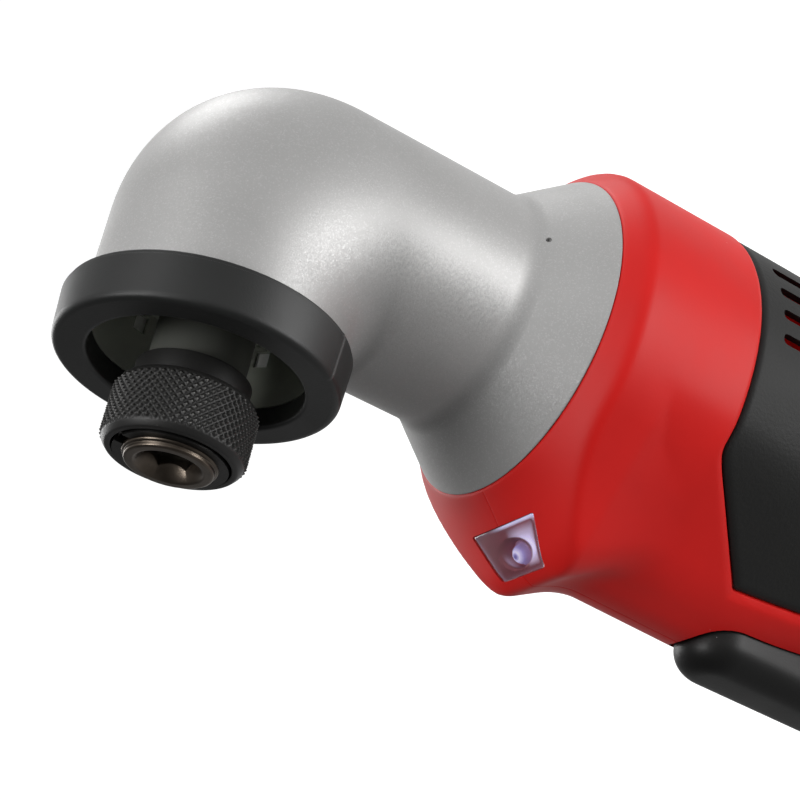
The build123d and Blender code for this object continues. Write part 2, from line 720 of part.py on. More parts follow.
def carbon_brushes():
    brushes = []
    for side in (-1, 1):
        near, far = sorted((side * (COMMUTATOR_R + 0.1), side * 13.0))
        brushes.append(block(near, far, -2.5, 2.5, BRUSH_D - 2, BRUSH_D + 2))
    return BARREL * group(*brushes)


# Handle shell
def shell_section(row, inset=0.0):
    height, half_width, top, bottom = row
    upper = EllipticalCenterArc((0, 0), half_width - inset, top - inset, start_angle=0, arc_size=180)
    lower = EllipticalCenterArc((0, 0), half_width - inset, bottom - inset, start_angle=180, arc_size=180)
    return Pos(0, 0, height) * make_face(Wire([upper, lower]))


def shell_body(inset, rows=SHELL):
    return loft([shell_section(row, inset) for row in rows])


def depth(value):
    """A depth below the head axis as a height."""
    return HEAD_Z - value


def chin():
    """The block under the bezel that carries the lamp, cut to the bezel's slope."""
    bend = (CHIN_LOW_Y + 3.7, CHIN_FLOOR_END + 3.0)
    end = (CHIN_END_Y, CHIN_FLOOR_END + CHIN_FALL)
    floor = underside((CHIN_LOW_Y, FLANGE_D), (CHIN_LOW_Y, CHIN_FLOOR_END), bend, end)
    front = both_sides((CHIN_TOP_HALF, -16), CHIN_CORNER, (CHIN_LOW_HALF, CHIN_LOW_Y))
    return floor & Pos(0, 0, depth(120)) * extrude(front, 80)


def keel():
    """The ridge under the handle. It runs from the chin past the trigger's nose and fades into the body."""
    nose = HEAD_Z - TRIGGER_NOSE_Z
    floor = underside((KEEL_Y, FLANGE_D), (KEEL_Y, nose + 2), (-28.5, nose + 22))
    front = both_sides((14.0, -18), (14.0, -25.3), KEEL_EDGE, (KEEL_HALF, KEEL_Y))
    return floor & Pos(0, 0, depth(120)) * extrude(front, 80)


def underside(*line):
    """Everything above a line of (y, depth) drawn in the side view."""
    corners = [(y, depth(down)) for y, down in line]
    top = [(-16, corners[-1][1]), (-16, corners[0][1])]
    return extrude(Plane.YZ * make_face(Polyline(*corners, *top, close=True)), 30, both=True)


def both_sides(*line):
    """A face from a line of (x, y) on the right and its mirror image on the left."""
    return make_face(Polyline(*line, *[(-x, y) for x, y in reversed(line)], close=True))


def bezel_slope():
    """The cone that the front of the handle is cut to."""
    high = FLANGE_D + 80
    return BARREL * turned((0, FLANGE_D), (FLANGE_R, FLANGE_D), (FLANGE_R + CHIN_SLOPE * 80, high), (0, high))


LAMP = Plane((0, -32.2, depth(53.0)), x_dir=(1, 0, 0), z_dir=(0, -0.67, 0.742))
LENS_TOP_HALF = 7.6
LENS_LOW_HALF = 5.1
LENS_HALF_LONG = 3.85
LAMP_DEEP = 7.4
LAMP_RIM_R = 2.9
LAMP_DOME_R = 1.9
LAMP_DROP = 0.9  # the emitter sits below the middle of the lens


def lamp_prism(grow, low, high):
    """The lens's trapezoid as a column out of the sloping face."""
    half_long = LENS_HALF_LONG + grow
    outline = both_sides((LENS_LOW_HALF + grow, -half_long), (LENS_TOP_HALF + grow, half_long))
    return LAMP * Pos(0, 0, low) * extrude(outline, high - low)


def shell_outside():
    rim = (depth(FLANGE_D), FLANGE_R, FLANGE_R, FLANGE_R)
    bezel = loft([shell_section(rim), shell_section(SHELL[0])], ruled=True)
    return shell_body(0) + bezel + ((chin() + keel()) & bezel_slope())


def rubber_region():
    """Side view of the rubber: everything behind its front edge but the strip along the trigger."""
    outline = Polyline(
        (50, RUBBER_TOP),
        (-15.5, RUBBER_TOP),
        (-20.0, RUBBER_TOP - 1.3),
        (-23.1, RUBBER_TOP - 4.9),
        (-28.9, RUBBER_TOP - 13.9),
        (-28.9, 172),
        (-27.4, 148),
        (-24.8, 128),
        (-22.8, 104),
        (-24.0, 98),
        (-50, 95),
        (-50, 44),
        (50, 40),
        close=True,
    )
    return extrude(Plane.YZ * make_face(outline), 60, both=True)


def stem_outline(grow):
    """A rounded triangle round the three cells."""
    half = CELL_STEP / 2
    rise = CELL_STEP / sqrt(3)
    triangle = make_face(Polyline((-half, -rise / 2), (half, -rise / 2), (0, rise), close=True))
    return offset(triangle, amount=CELL_R + grow, kind=Kind.ARC)


def stem_prism(grow, low, high):
    return Pos(0, 0, low) * extrude(stem_outline(grow), high - low)


STEM_GROW = 0.2 + STEM_WALL
BAY_GROW = STEM_GROW + GAP
SCREWS = ((21.6, 186.0), (21.6, 150.0), (-22.2, 181.4), (16.8, 99.0), (-19.6, 99.2), (20.4, 130.0))
SCREW_R = 1.45
SCREW_HEAD_X = -13.0
SWITCH_X = 9.0
SWITCH_Y = (-18.5, 4.0)
SWITCH_Z = (103.5, 129.0)
BOARD_X = 13.0
BOARD_Y = 13.0
BOARD_THICK = 1.6
BOARD_Z = (104.0, 139.0)
TERMINAL_Z = (STEM_TOP + 0.8, 101.5)
TERMINAL_X = 13.0
TERMINAL_Y = (-13.0, 11.0)
SPRING_Z = 146.0
SPRING_SEAT_Y = -19.4
GAUGE_Z = 118.0
GAUGE_HALF = 7.0


def ribs(cavity):
    """Cross walls that hold the motor, the switch and the terminal block."""
    walls = []
    for low, high in ((MOTOR_D + 10, MOTOR_D + 12.5), (MOTOR_END - 5, MOTOR_END - 2.5)):
        walls.append(cavity & block(-40, 40, -40, 40, depth(high), depth(low)))
    for low, high in ((SWITCH_Z[0] + 1.5, SWITCH_Z[0] + 3.5), (SWITCH_Z[1] - 3.5, SWITCH_Z[1] - 1.5)):
        walls.append(cavity & block(-40, 40, SWITCH_Y[0] + 1.5, 18.5, low, high))
    walls.append(cavity & block(-40, 40, -40, 40, TERMINAL_Z[0] + 1.2, TERMINAL_Z[1] - 1.2))
    walls.append(cavity & block(-40, 40, SPRING_SEAT_Y - 1.4, SPRING_SEAT_Y, SPRING_Z - 5, SPRING_Z + 5))
    return walls


def handle_shell():
    """Both halves of the handle in one, before the split."""
    outside = shell_outside()
    cavity = shell_body(SHELL_WALL) & block(-60, 60, -60, 60, SHELL_LOW + 3.5, depth(COVER_END))
    front_bore = BARREL * rod(SPIGOT_BACK_R + SEATED, FLANGE_D - 1, COVER_END + 0.1)
    body = outside - cavity - front_bore
    liner = stem_prism(BAY_GROW + 1.8, SHELL_LOW, STEM_TOP + 0.4) & shell_body(RUBBER + 0.5)
    bosses = [bar((-30, y, z), (16, y, z), 3.9) & shell_body(RUBBER + 0.5) for y, z in SCREWS]
    body = body + ribs(cavity) + [liner] + bosses
    body -= stem_prism(BAY_GROW, SHELL_LOW - 1, STEM_TOP + 0.4)
    body -= BARREL * rod(MOTOR_R + SEATED, MOTOR_D - 3, BELL_END + 0.5)
    body -= block(-SWITCH_X - SEATED, SWITCH_X + SEATED, SWITCH_Y[0] - 3, SWITCH_Y[1] + SEATED, *SWITCH_Z)
    board_half = BOARD_X + SEATED
    body -= block(-board_half, board_half, BOARD_Y - SEATED, BOARD_Y + BOARD_THICK + SEATED, *BOARD_Z)
    body -= block(-10, 10, 4.0, BOARD_Y + 1, *SWITCH_Z)
    terminal_half = TERMINAL_X + SEATED
    body -= block(-terminal_half, terminal_half, TERMINAL_Y[0] - SEATED, TERMINAL_Y[1] + SEATED, *TERMINAL_Z)
    slot_half = TRIGGER_HALF + TRIGGER_GAP
    body -= trigger_column(TRIGGER_GAP, TRIGGER_GAP + 0.2, TRIGGER_TAIL_Z - 2.2, -21.0)
    ear = block(slot_half, slot_half + 3.4, PIVOT_Y - 3, PIVOT_Y + 4.2, PIVOT_Z - 4, PIVOT_Z + 4)
    ear = ear & shell_body(RUBBER + 0.5)
    body = body + [ear, mirror(ear, Plane.YZ)]
    reach = PIN_REACH + 0.2
    body -= bar((-reach, PIVOT_Y, PIVOT_Z), (reach, PIVOT_Y, PIVOT_Z), PIVOT_R + SEATED)
    body -= shuttle_slot()
    body -= lamp_prism(0.1, -LAMP_DEEP, 6)
    body -= block(-GAUGE_HALF, GAUGE_HALF, 15, 40, GAUGE_Z - 3, GAUGE_Z + 3)
    for side in (-1, 1):
        for row in range(4):
            y = 3.0 + 4.4 * row
            for middle in (184.0, 153.0):
                near, far = sorted((side * 17, side * 40))
                body -= block(near, far, y - 0.9, y + 0.9, middle - 4.5, middle + 4.5)
        near, far = sorted((side * LATCH_POCKET_X, side * 40))
        body -= block(near, far, -8.4, 8.4, SHELL_LOW - 1, SHELL_LOW + 9)
    for y, z in SCREWS:
        body -= bar((-40, y, z), (SCREW_HEAD_X, y, z), 3.2)
        body -= bar((SCREW_HEAD_X - 1, y, z), (13.5, y, z), SCREW_R + SEATED)
    return body


def shuttle_slot():
    half_y, half_z = SHUTTLE_HALF_Y + GAP, SHUTTLE_HALF_Z + GAP
    return block(-60, 60, SHUTTLE_Y - half_y, SHUTTLE_Y + half_y, SHUTTLE_Z - half_z, SHUTTLE_Z + half_z)


def rubber_blank(shell):
    skin = shell_body(0) - shell_body(RUBBER)
    return shell & skin & rubber_region()


def half_of(shape, side):
    near, far = sorted((0, side * 80))
    return shape & block(near, far, -80, 80, -5, 300)


def housing_screws():
    screws = []
    for y, z in SCREWS:
        head = bar((SCREW_HEAD_X - 2.2, y, z), (SCREW_HEAD_X, y, z), 2.8)
        head -= bar((SCREW_HEAD_X - 3, y, z), (SCREW_HEAD_X - 1.2, y, z), 1.1)
        screws.append(head + bar((SCREW_HEAD_X - 0.2, y, z), (12.5, y, z), SCREW_R))
    return group(*screws)


# Lamp
def lamp_lens():
    cap = lamp_prism(0, -1.6, 6) & shell_outside()
    return cap - LAMP * rod(LAMP_RIM_R + 0.1, -3, -0.8, y=-LAMP_DROP)


def lamp_module():
    """The light emitter on its small board."""
    seat = -LAMP_DEEP + 4.4
    dome = Pos(0, 0, seat) * Sphere(LAMP_DOME_R) & block(-5, 5, -5, 5, seat, 5)
    rim = rod(LAMP_RIM_R, -LAMP_DEEP + 1.85, seat + 0.1)
    board = block(-4.9, 4.9, -3.3, 3.3, -LAMP_DEEP + 0.1, -LAMP_DEEP + 1.8)
    return LAMP * group(Pos(0, -LAMP_DROP, 0) * (dome + rim), board)


# Trigger group
TRIGGER_GAP = 0.4
PIN_REACH = TRIGGER_HALF + TRIGGER_GAP + 2.2


def trigger_column(grow, ahead, low_z, back_y):
    """The lever's width as a column along Y, with straight sides and a half round nose."""
    half = TRIGGER_HALF + grow
    middle = TRIGGER_NOSE_Z - TRIGGER_HALF + ahead
    nose = bar((0, -50, middle), (0, back_y, middle), half)
    return nose + block(-half, half, -50, back_y, low_z, middle)


def trigger():
    outline = Polyline(
        (TRIGGER_ROOT_Y, PIVOT_Z - 4.5),
        (TRIGGER_ROOT_Y, TRIGGER_NOSE_Z + 1),
        (TRIGGER_LOW_Y, TRIGGER_NOSE_Z + 1),
        (TRIGGER_LOW_Y, 124.0),
        (-34.5, TRIGGER_TAIL_Z),
        (TRIGGER_IN_Y, TRIGGER_TAIL_Z),
        (TRIGGER_IN_Y, PIVOT_Z - 7.0),
        close=True,
    )
    body = extrude(Plane.YZ * make_face(outline), TRIGGER_HALF, both=True)
    body = body & trigger_column(0, 0, TRIGGER_TAIL_Z - 1, 0)
    low_edges = body.edges().filter_by(lambda edge: edge.center().Y < TRIGGER_LOW_Y + 2)
    rim_edges = low_edges.filter_by(lambda edge: abs(edge.center().X) > 1 or edge.center().Z > PIVOT_Z)
    body = fillet(rim_edges, TRIGGER_EDGE)
    return body - bar((-20, PIVOT_Y, PIVOT_Z), (20, PIVOT_Y, PIVOT_Z), PIVOT_R + RUNNING)


def trigger_pin():
    return bar((-PIN_REACH, PIVOT_Y, PIVOT_Z), (PIN_REACH, PIVOT_Y, PIVOT_Z), PIVOT_R)


def trigger_spring():
    length = SPRING_SEAT_Y - 1.4 - TRIGGER_IN_Y - 0.1
    seat = Plane((0, TRIGGER_IN_Y + 0.05, SPRING_Z), x_dir=(1, 0, 0), z_dir=(0, 1, 0))
    return seat * coil(3.2, 0.4, 0, length, 3)


def switch_body():
    body = block(-SWITCH_X, SWITCH_X, SWITCH_Y[0], SWITCH_Y[1], SWITCH_Z[0] + 0.05, SWITCH_Z[1] - 0.05)
    return body - block(-3.6, 3.6, SWITCH_Y[0] - 1, -7.0, PLUNGER_Z - 3.1, PLUNGER_Z + 3.1)


def switch_plunger():
    tip_y = TRIGGER_IN_Y + 0.35
    stem = block(-3.5, 3.5, tip_y + 3.0, -13.0, PLUNGER_Z - 3, PLUNGER_Z + 3)
    return stem + bar((-3.5, tip_y + 3.0, PLUNGER_Z), (3.5, tip_y + 3.0, PLUNGER_Z), 3.0)


def direction_shuttle():
    low_y, high_y = SHUTTLE_Y - SHUTTLE_HALF_Y, SHUTTLE_Y + SHUTTLE_HALF_Y
    low_z, high_z = SHUTTLE_Z - SHUTTLE_HALF_Z, SHUTTLE_Z + SHUTTLE_HALF_Z
    body = block(-SHUTTLE_HALF, SHUTTLE_HALF, low_y, high_y, low_z, high_z)
    return fillet(body.edges().filter_by(Axis.X), 1.6)


# Electrics
def control_board():
    board = block(-BOARD_X, BOARD_X, BOARD_Y, BOARD_Y + BOARD_THICK, BOARD_Z[0] + 0.05, BOARD_Z[1] - 0.05)
    chips = [block(x - 2.5, x + 2.5, BOARD_Y - 2.0, BOARD_Y, 109, 117) for x in (-6.5, 0.0, 6.5)]
    can = bar((6, BOARD_Y, 134.0), (6, BOARD_Y - 7, 134.0), 3.5)
    return group(board, *chips, can)


def gauge_lens():
    half = GAUGE_HALF - 0.1
    body = block(-half, half, BOARD_Y + BOARD_THICK, 40, GAUGE_Z - 2.9, GAUGE_Z + 2.9)
    return body & shell_body(0.1)


def motor_leads():
    return group(*[rod(1.1, SWITCH_Z[1] - 0.05, depth(BELL_END), x=x, y=1.0) for x in (-6.5, 6.5)])


def terminal_block():
    body = block(-TERMINAL_X, TERMINAL_X, *TERMINAL_Y, TERMINAL_Z[0] + 0.05, TERMINAL_Z[1] - 0.05)
    for x in BLADE_X:
        body -= block(x - 0.5, x + 0.5, -4.2, 3.2, TERMINAL_Z[0] - 1, TERMINAL_Z[1] - 1.0)
    return body


def terminal_blades():
    return group(*[block(x - 0.45, x + 0.45, -4.0, 3.0, 87.5, TERMINAL_Z[1] - 1.1) for x in BLADE_X])


# Battery pack
def base_outline(inset=0.0):
    outline = RectangleRounded(2 * (BASE_HALF_X - inset), 2 * (BASE_HALF_Y - inset), 20 - inset)
    return outline


def battery_case():
    base = Pos(0, 0, COVER) * extrude(base_outline(), BASE_TOP - COVER)
    base = fillet(base.edges().filter_by(Plane.XY).sort_by(Axis.Z)[-8:], 1.8)
    stem = stem_prism(STEM_GROW, BASE_TOP - 1, STEM_TOP)
    hollow = Pos(0, 0, COVER - 1) * extrude(base_outline(2.2), BASE_TOP - COVER - 1.4)
    bore = stem_prism(0.2, COVER, CELL_LOW + CELL_LONG + 0.2)
    body = base + stem - hollow - bore
    for x in BLADE_X:
        body -= block(x - 1.3, x + 1.3, -5.0, 4.0, CELL_LOW + CELL_LONG - 1, STEM_TOP + 1)
    for side in (-1, 1):
        near, far = sorted((side * LATCH_POCKET_X, side * 40))
        body -= block(near, far, -8.3, 8.3, 8.7, BASE_TOP + 1)
    for x, y in BASE_SCREWS:
        post = rod(3.0, COVER, BASE_TOP - 0.5, x, y)
        body = body + post - rod(1.2 + SEATED, COVER - 1, 13, x, y)
    return body


def battery_cover():
    plate = extrude(base_outline(), COVER - 0.05)
    plate = fillet(plate.edges().filter_by(Plane.XY).sort_by(Axis.Z)[:8], 1.2)
    for x, y in BASE_SCREWS:
        plate -= rod(1.2 + SEATED, -1, COVER + 1, x, y)
        plate -= rod(2.5, -1, 1.8, x, y)
    return plate


def battery_screws():
    screw = rod(2.3, 0.5, 1.8) - rod(0.9, 0, 1.2) + rod(1.2, 1.6, 12)
    return group(*[Pos(x, y, 0) * screw for x, y in BASE_SCREWS])


def battery_cells():
    rise = CELL_STEP / sqrt(3)
    places = ((-CELL_STEP / 2, -rise / 2), (CELL_STEP / 2, -rise / 2), (0, rise))
    cells = []
    for x, y in places:
        cell = rod(CELL_R, CELL_LOW, CELL_LOW + CELL_LONG - 2.0, x, y)
        cells.append(cell + rod(3.5, CELL_LOW, CELL_LOW + CELL_LONG - 1.2, x, y))
    return group(*cells)


def battery_board():
    return Pos(0, 0, CELL_LOW - 2.4) * extrude(stem_outline(-1.0), 1.6) + rod(2, COVER, CELL_LOW - 2, 0, 0)


def battery_contacts():
    """Spring clips that meet the tool's blades."""
    clips = []
    for x in BLADE_X:
        for side in (-1, 1):
            near, far = sorted((x + side * 0.6, x + side * 1.25))
            clips.append(block(near, far, -3.5, 2.5, CELL_LOW + CELL_LONG - 0.5, STEM_TOP - 1.5))
    return group(*clips)


def battery_latch(side):
    """A sprung side button with its catch arm."""
    near, far = sorted((side * LATCH_IN_X, side * (BASE_HALF_X + 1.2)))
    button = block(near, far, -8, 8, 9, BASE_TOP - 0.5)
    near, far = sorted((side * LATCH_IN_X, side * (LATCH_IN_X + 2)))
    arm = block(near, far, -6, 6, BASE_TOP - 1, BASE_TOP + 7.5)
    return button + arm


def latch_springs():
    springs = []
    for side in (-1, 1):
        place = Plane((side * (LATCH_POCKET_X - 0.35), 0, 13.5), z_dir=(side, 0, 0))
        springs.append(place * coil(2.6, 0.3, 0, LATCH_IN_X - LATCH_POCKET_X + 0.3, 3))
    return group(*springs)


def build():
    shell = handle_shell()
    rubber = rubber_blank(shell)
    hard = shell - rubber
    nodes = {
        "gear_case": gear_case(),
        "guard_ring": guard_ring(),
        "bearing_retainer": bearing_retainer(),
        "output_spindle": output_spindle(),
        "chuck_sleeve": chuck_sleeve(),
        "sleeve_spring": sleeve_spring(),
        "retaining_ring": retaining_ring(),
        "bit_ball_right": bit_ball(1),
        "bit_ball_left": bit_ball(-1),
        "ball_bearings": group(head_bearing(), pinion_bearing(), carrier_bearing()),
        "bushes": bushes(),
        "bevel_wheel": bevel_wheel(),
        "anvil_pinion": anvil_pinion(),
        "hammer": hammer(),
        "hammer_spring": hammer_spring(),
        "cam_balls": cam_balls(),
        "camshaft_carrier": camshaft_carrier(),
        "planet_pins": planet_pins(),
        "planet_gear_a": planet_gear(0),
        "planet_gear_b": planet_gear(1),
        "planet_gear_c": planet_gear(2),
        "ring_gear": ring_gear(),
        "sun_pinion": sun_pinion(),
        "gearbox_cover": gearbox_cover(),
        "motor_can": motor_can(),
        "motor_magnets": motor_magnets(),
        "cooling_fan": cooling_fan(),
        "armature_core": armature_core(),
        "armature_windings": armature_windings(),
        "commutator": commutator(),
        "motor_shaft": motor_shaft(),
        "end_bell": end_bell(),
        "carbon_brushes": carbon_brushes(),
        "housing_right": half_of(hard, 1),
        "housing_left": half_of(hard, -1),
        "grip_right": half_of(rubber, 1),
        "grip_left": half_of(rubber, -1),
        "housing_screws": housing_screws(),
        "lamp_lens": lamp_lens(),
        "lamp_module": lamp_module(),
        "trigger": trigger(),
        "trigger_pin": trigger_pin(),
        "trigger_spring": trigger_spring(),
        "switch_body": switch_body(),
        "switch_plunger": switch_plunger(),
        "direction_shuttle": direction_shuttle(),
        "control_board": control_board(),
        "gauge_lens": gauge_lens(),
        "motor_leads": motor_leads(),
        "terminal_block": terminal_block(),
        "terminal_blades": terminal_blades(),
        "battery_case": battery_case(),
        "battery_cover": battery_cover(),
        "battery_screws": battery_screws(),
        "battery_cells": battery_cells(),
        "battery_board": battery_board(),
        "battery_contacts": battery_contacts(),
        "battery_latch_right": battery_latch(1),
        "battery_latch_left": battery_latch(-1),
        "latch_springs": latch_springs(),
    }
    for name, shape in nodes.items():
        export_step(shape, f"parts/{name}.step")
        print(name, len(shape.solids()), "solids", round(shape.volume / 1000, 2), "cm3")


build()
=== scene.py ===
# %% [markdown]
# # A right angle impact driver, dressed for the camera
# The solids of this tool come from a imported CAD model. They give every place, size and joint.
# This lesson puts fuller surfaces and real finishes round that frame, one piece at a time.
# Sizes are written in millimetres, as on a drawing, and become metres when a mesh is made.

# %% Load the fixed frame
import json
import bmesh
import bpy
import numpy as np
from mathutils import Matrix, Vector


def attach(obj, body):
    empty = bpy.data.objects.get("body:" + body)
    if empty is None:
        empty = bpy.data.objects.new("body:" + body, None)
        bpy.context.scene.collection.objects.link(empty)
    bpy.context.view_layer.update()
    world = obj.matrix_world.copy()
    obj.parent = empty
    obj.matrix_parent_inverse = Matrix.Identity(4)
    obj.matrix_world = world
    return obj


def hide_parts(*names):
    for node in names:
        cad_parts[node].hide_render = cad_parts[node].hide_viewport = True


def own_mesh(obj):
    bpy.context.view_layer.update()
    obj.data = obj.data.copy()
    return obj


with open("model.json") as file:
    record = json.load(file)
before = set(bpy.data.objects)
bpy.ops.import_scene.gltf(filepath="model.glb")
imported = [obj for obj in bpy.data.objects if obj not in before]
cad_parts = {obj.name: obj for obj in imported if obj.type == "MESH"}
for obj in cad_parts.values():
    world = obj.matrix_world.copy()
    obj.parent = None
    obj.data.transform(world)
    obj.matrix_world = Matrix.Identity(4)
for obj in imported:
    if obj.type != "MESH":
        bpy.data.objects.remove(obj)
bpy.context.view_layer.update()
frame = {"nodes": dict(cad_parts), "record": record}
MM = 0.001
HEAD_Z = 262.0  # height of the head's axis
SIDES = {1: "right", -1: "left"}  # sign of x and the side's name

# %% [markdown]
# ## Two axes
# The head is turned about a level axis that points to -Y, the handle about the upright axis.
# Almost every piece is a curve carried round one of them, so two functions place all of those points.
# Angles are called turns, and a turn of zero is the side away from the inside of the elbow.

# %% Points round the two axes
def pack(*parts):
    """Coordinates put together as the last axis of one array."""
    return np.stack(np.broadcast_arrays(*parts), -1)


def about_head(along, out, turn):
    """x = out sin(turn), y = -along, z = head height + out cos(turn)."""
    return pack(out * np.sin(turn), -along, HEAD_Z + out * np.cos(turn))


def about_barrel(depth, out, turn):
    """x = out sin(turn), y = out cos(turn), z = head height - depth."""
    return pack(out * np.sin(turn), out * np.cos(turn), HEAD_Z - depth)


def full_circle(count):
    """Equal turns all the way round, without the closing one."""
    return np.linspace(0, 2 * np.pi, count, endpoint=False)


print("axes: head at", HEAD_Z, "mm, handle at x = y = 0")

# %% [markdown]
# ## Rounded corners
# A drawn profile has sharp corners, and nothing that was moulded or turned has them.
# Each corner becomes a quadratic curve: it leaves one edge, heads for the corner and arrives on the next edge.
# Two more points just outside the curve hold the flats flat, so that smooth shading doesn't bleed into them.

# %% Profiles with soft corners
CURVE_POINTS = 6
MOST_CUT = 0.46  # share of an edge that one corner may take
HOLD = 1.08  # the holding points' distance from the corner, in cuts


def soft_corners(corners, closed=True):
    """Corners are rows of u, v and the length cut off. Point(t) = (1-t)^2 start + 2t(1-t) corner + t^2 end."""
    corners = np.array(corners, float)
    at, cut = corners[:, :2], corners[:, 2:3].copy()
    if not closed:
        cut[[0, -1]] = 0
    back, ahead = np.roll(at, 1, 0) - at, np.roll(at, -1, 0) - at
    back_long = np.linalg.norm(back, axis=1, keepdims=True) + 1e-9
    ahead_long = np.linalg.norm(ahead, axis=1, keepdims=True) + 1e-9
    start = at + back / back_long * np.minimum(cut, MOST_CUT * back_long)
    end = at + ahead / ahead_long * np.minimum(cut, MOST_CUT * ahead_long)
    hold_start, hold_end = at + (start - at) * HOLD, at + (end - at) * HOLD
    t = np.linspace(0, 1, CURVE_POINTS)[None, :, None]
    curve = (1 - t) ** 2 * start[:, None] + 2 * t * (1 - t) * at[:, None] + t**2 * end[:, None]
    line = np.concatenate([hold_start[:, None], curve, hold_end[:, None]], 1).reshape(-1, 2)
    fresh = np.linalg.norm(line - np.roll(line, 1, 0), axis=1) > 1e-4
    fresh[0] = True
    return line[fresh]


def oblong(u, v, half_u, half_v, corner):
    """A rectangle with soft corners about a middle point."""
    signs = np.array([(-1, -1), (1, -1), (1, 1), (-1, 1)])
    return soft_corners(np.column_stack([signs * (half_u, half_v) + (u, v), np.full(4, corner)]))


def disc(radius, count):
    """A circle's outline."""
    turn = full_circle(count)
    return radius * pack(np.cos(turn), np.sin(turn))


def ease(value):
    """Smooth step from 0 to 1: 3v^2 - 2v^3."""
    value = np.clip(value, 0, 1)
    return value * value * (3 - 2 * value)


def soft_least(one, other, reach):
    """The smaller of two surfaces, with the crossing rounded over a given reach."""
    share = np.clip(0.5 + 0.5 * (other - one) / reach, 0, 1)
    return other + (one - other) * share - reach * share * (1 - share)


print("points of a soft square:", len(oblong(0, 0, 1, 1, 0.2)))

# %% [markdown]
# ## From a grid to an object
# A surface is a grid of rows and columns. Faces join neighbours, and where the surface comes round again
# the last column joins the first. Points that fall together at a pole are merged, and the faces are turned
# outwards. The object stays at the origin, and its place is in its mesh, as with the CAD nodes.

# %% Grid faces and finished pieces
MERGE = 2e-6  # metres within which points count as one


def skin(rows, columns, around=True, loop=False):
    """Quads between neighbouring rows and columns; around closes the columns, loop closes the rows."""
    index = np.arange(rows * columns).reshape(rows, columns)
    if around:
        index = np.hstack([index, index[:, :1]])
    if loop:
        index = np.vstack([index, index[:1]])
    return pack(index[:-1, :-1], index[:-1, 1:], index[1:, 1:], index[1:, :-1]).reshape(-1, 4)


def clean_mesh(mesh, crisp):
    """Merge points that coincide, turn faces outwards, shade smooth but for edges over an angle."""
    shell = bmesh.new()
    shell.from_mesh(mesh)
    bmesh.ops.remove_doubles(shell, verts=shell.verts, dist=MERGE)
    bmesh.ops.recalc_face_normals(shell, faces=shell.faces)
    shell.to_mesh(mesh)
    shell.free()
    mesh.shade_smooth()
    mesh.set_sharp_from_angle(angle=np.radians(crisp))


def add_object(name, data):
    """Put a new object in the scene."""
    made = bpy.data.objects.new(name, data)
    bpy.context.scene.collection.objects.link(made)
    return made


def piece(name, points, faces, finish, body, slot, stands_for=(), crisp=38, marks=None):
    """Make one object of points in mm, let it ride on a body and hide the nodes that it stands for."""
    mesh = bpy.data.meshes.new(name)
    mesh.from_pydata((np.asarray(points).reshape(-1, 3) * MM).tolist(), [], [list(face) for face in faces])
    for label, values in (marks or {}).items():
        layer = mesh.attributes.new(label, "FLOAT", "POINT")
        layer.data.foreach_set("value", np.asarray(values, np.float32).ravel())
    clean_mesh(mesh, crisp)
    mesh.materials.append(finish)
    made = add_object(name, mesh)
    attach(made, body)
    if stands_for:
        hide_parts(*stands_for)
    print("made", name, len(mesh.vertices), "points,", len(mesh.polygons), "faces")
    return made


def sheet(name, rows, finish, body, slot, stands_for=(), loop=False, **more):
    """A piece that is one grid of rows, closed round its columns."""
    return piece(name, rows, skin(*rows.shape[:2], loop=loop), finish, body, slot, stands_for, **more)


def joined(parts):
    """Several point and face lists as one."""
    starts = np.cumsum([0] + [len(points) for points, faces in parts])
    points = np.vstack([points for points, faces in parts])
    faces = [[index + start for index in face] for start, part in zip(starts, parts) for face in part[1]]
    return points, faces


print("pieces: grid faces, merged poles, faces outwards")

# %% [markdown]
# ## Cutting
# Holes with straight walls are columns: an outline at two heights, put in space by a function.
# An exact boolean takes them away, and what is left becomes the piece's own mesh, so no modifier remains.

# %% Columns and cuts
def prism(outline, low, high, put):
    """A closed column: an outline of (u, v) at two heights, put in space by put(u, v, height)."""
    count = len(outline)
    u, v = np.tile(outline[:, 0], 2), np.tile(outline[:, 1], 2)
    points = put(u, v, np.repeat([low, high], count))
    ring = np.arange(count)
    following = np.roll(ring, -1)
    walls = pack(ring, following, following + count, ring + count).tolist()
    return points, walls + [ring.tolist(), (ring + count).tolist()]


def along_x(u, v, height):
    """Outline in y and z, column along x."""
    return pack(height, u, v)


def along_y(u, v, height):
    """Outline in x and z, column along y."""
    return pack(u, height, v)


def carve(made, cutters, crisp=38):
    """Cut closed shapes out of a piece with one exact boolean, and keep the result as the piece's mesh."""
    points, faces = joined(cutters)
    mesh = bpy.data.meshes.new("cutter")
    mesh.from_pydata((points * MM).tolist(), [], faces)
    clean_mesh(mesh, crisp)
    tool = add_object("cutter", mesh)
    cut = made.modifiers.new("cut", "BOOLEAN")
    cut.operation, cut.solver, cut.object = "DIFFERENCE", "EXACT", tool
    seen = made.evaluated_get(bpy.context.evaluated_depsgraph_get())
    result = bpy.data.meshes.new_from_object(seen)
    made.modifiers.clear()
    old = made.data
    result.name = old.name
    made.data = result
    bpy.data.meshes.remove(old)
    bpy.data.objects.remove(tool)
    bpy.data.meshes.remove(mesh)
    result.shade_smooth()
    result.set_sharp_from_angle(angle=np.radians(crisp))
    print("carved", made.name, "to", len(result.polygons), "faces")


print("cutting ready")

# %% [markdown]
# ## Finishes: small effects first
# Paint flake, moulding grain, dust and turning marks come back in several finishes.
# Each is a node group that is built once. It gives out masks, heights and tints only,
# so the shader, which decides how light leaves the surface, stays in each finish.

# %% Node helpers
def wire(tree, node, feeds):
    """Feed a node's inputs with values or with other nodes' outputs."""
    for key, value in feeds.items():
        if isinstance(value, bpy.types.NodeSocket):
            tree.links.new(value, node.inputs[key])
        else:
            node.inputs[key].default_value = value


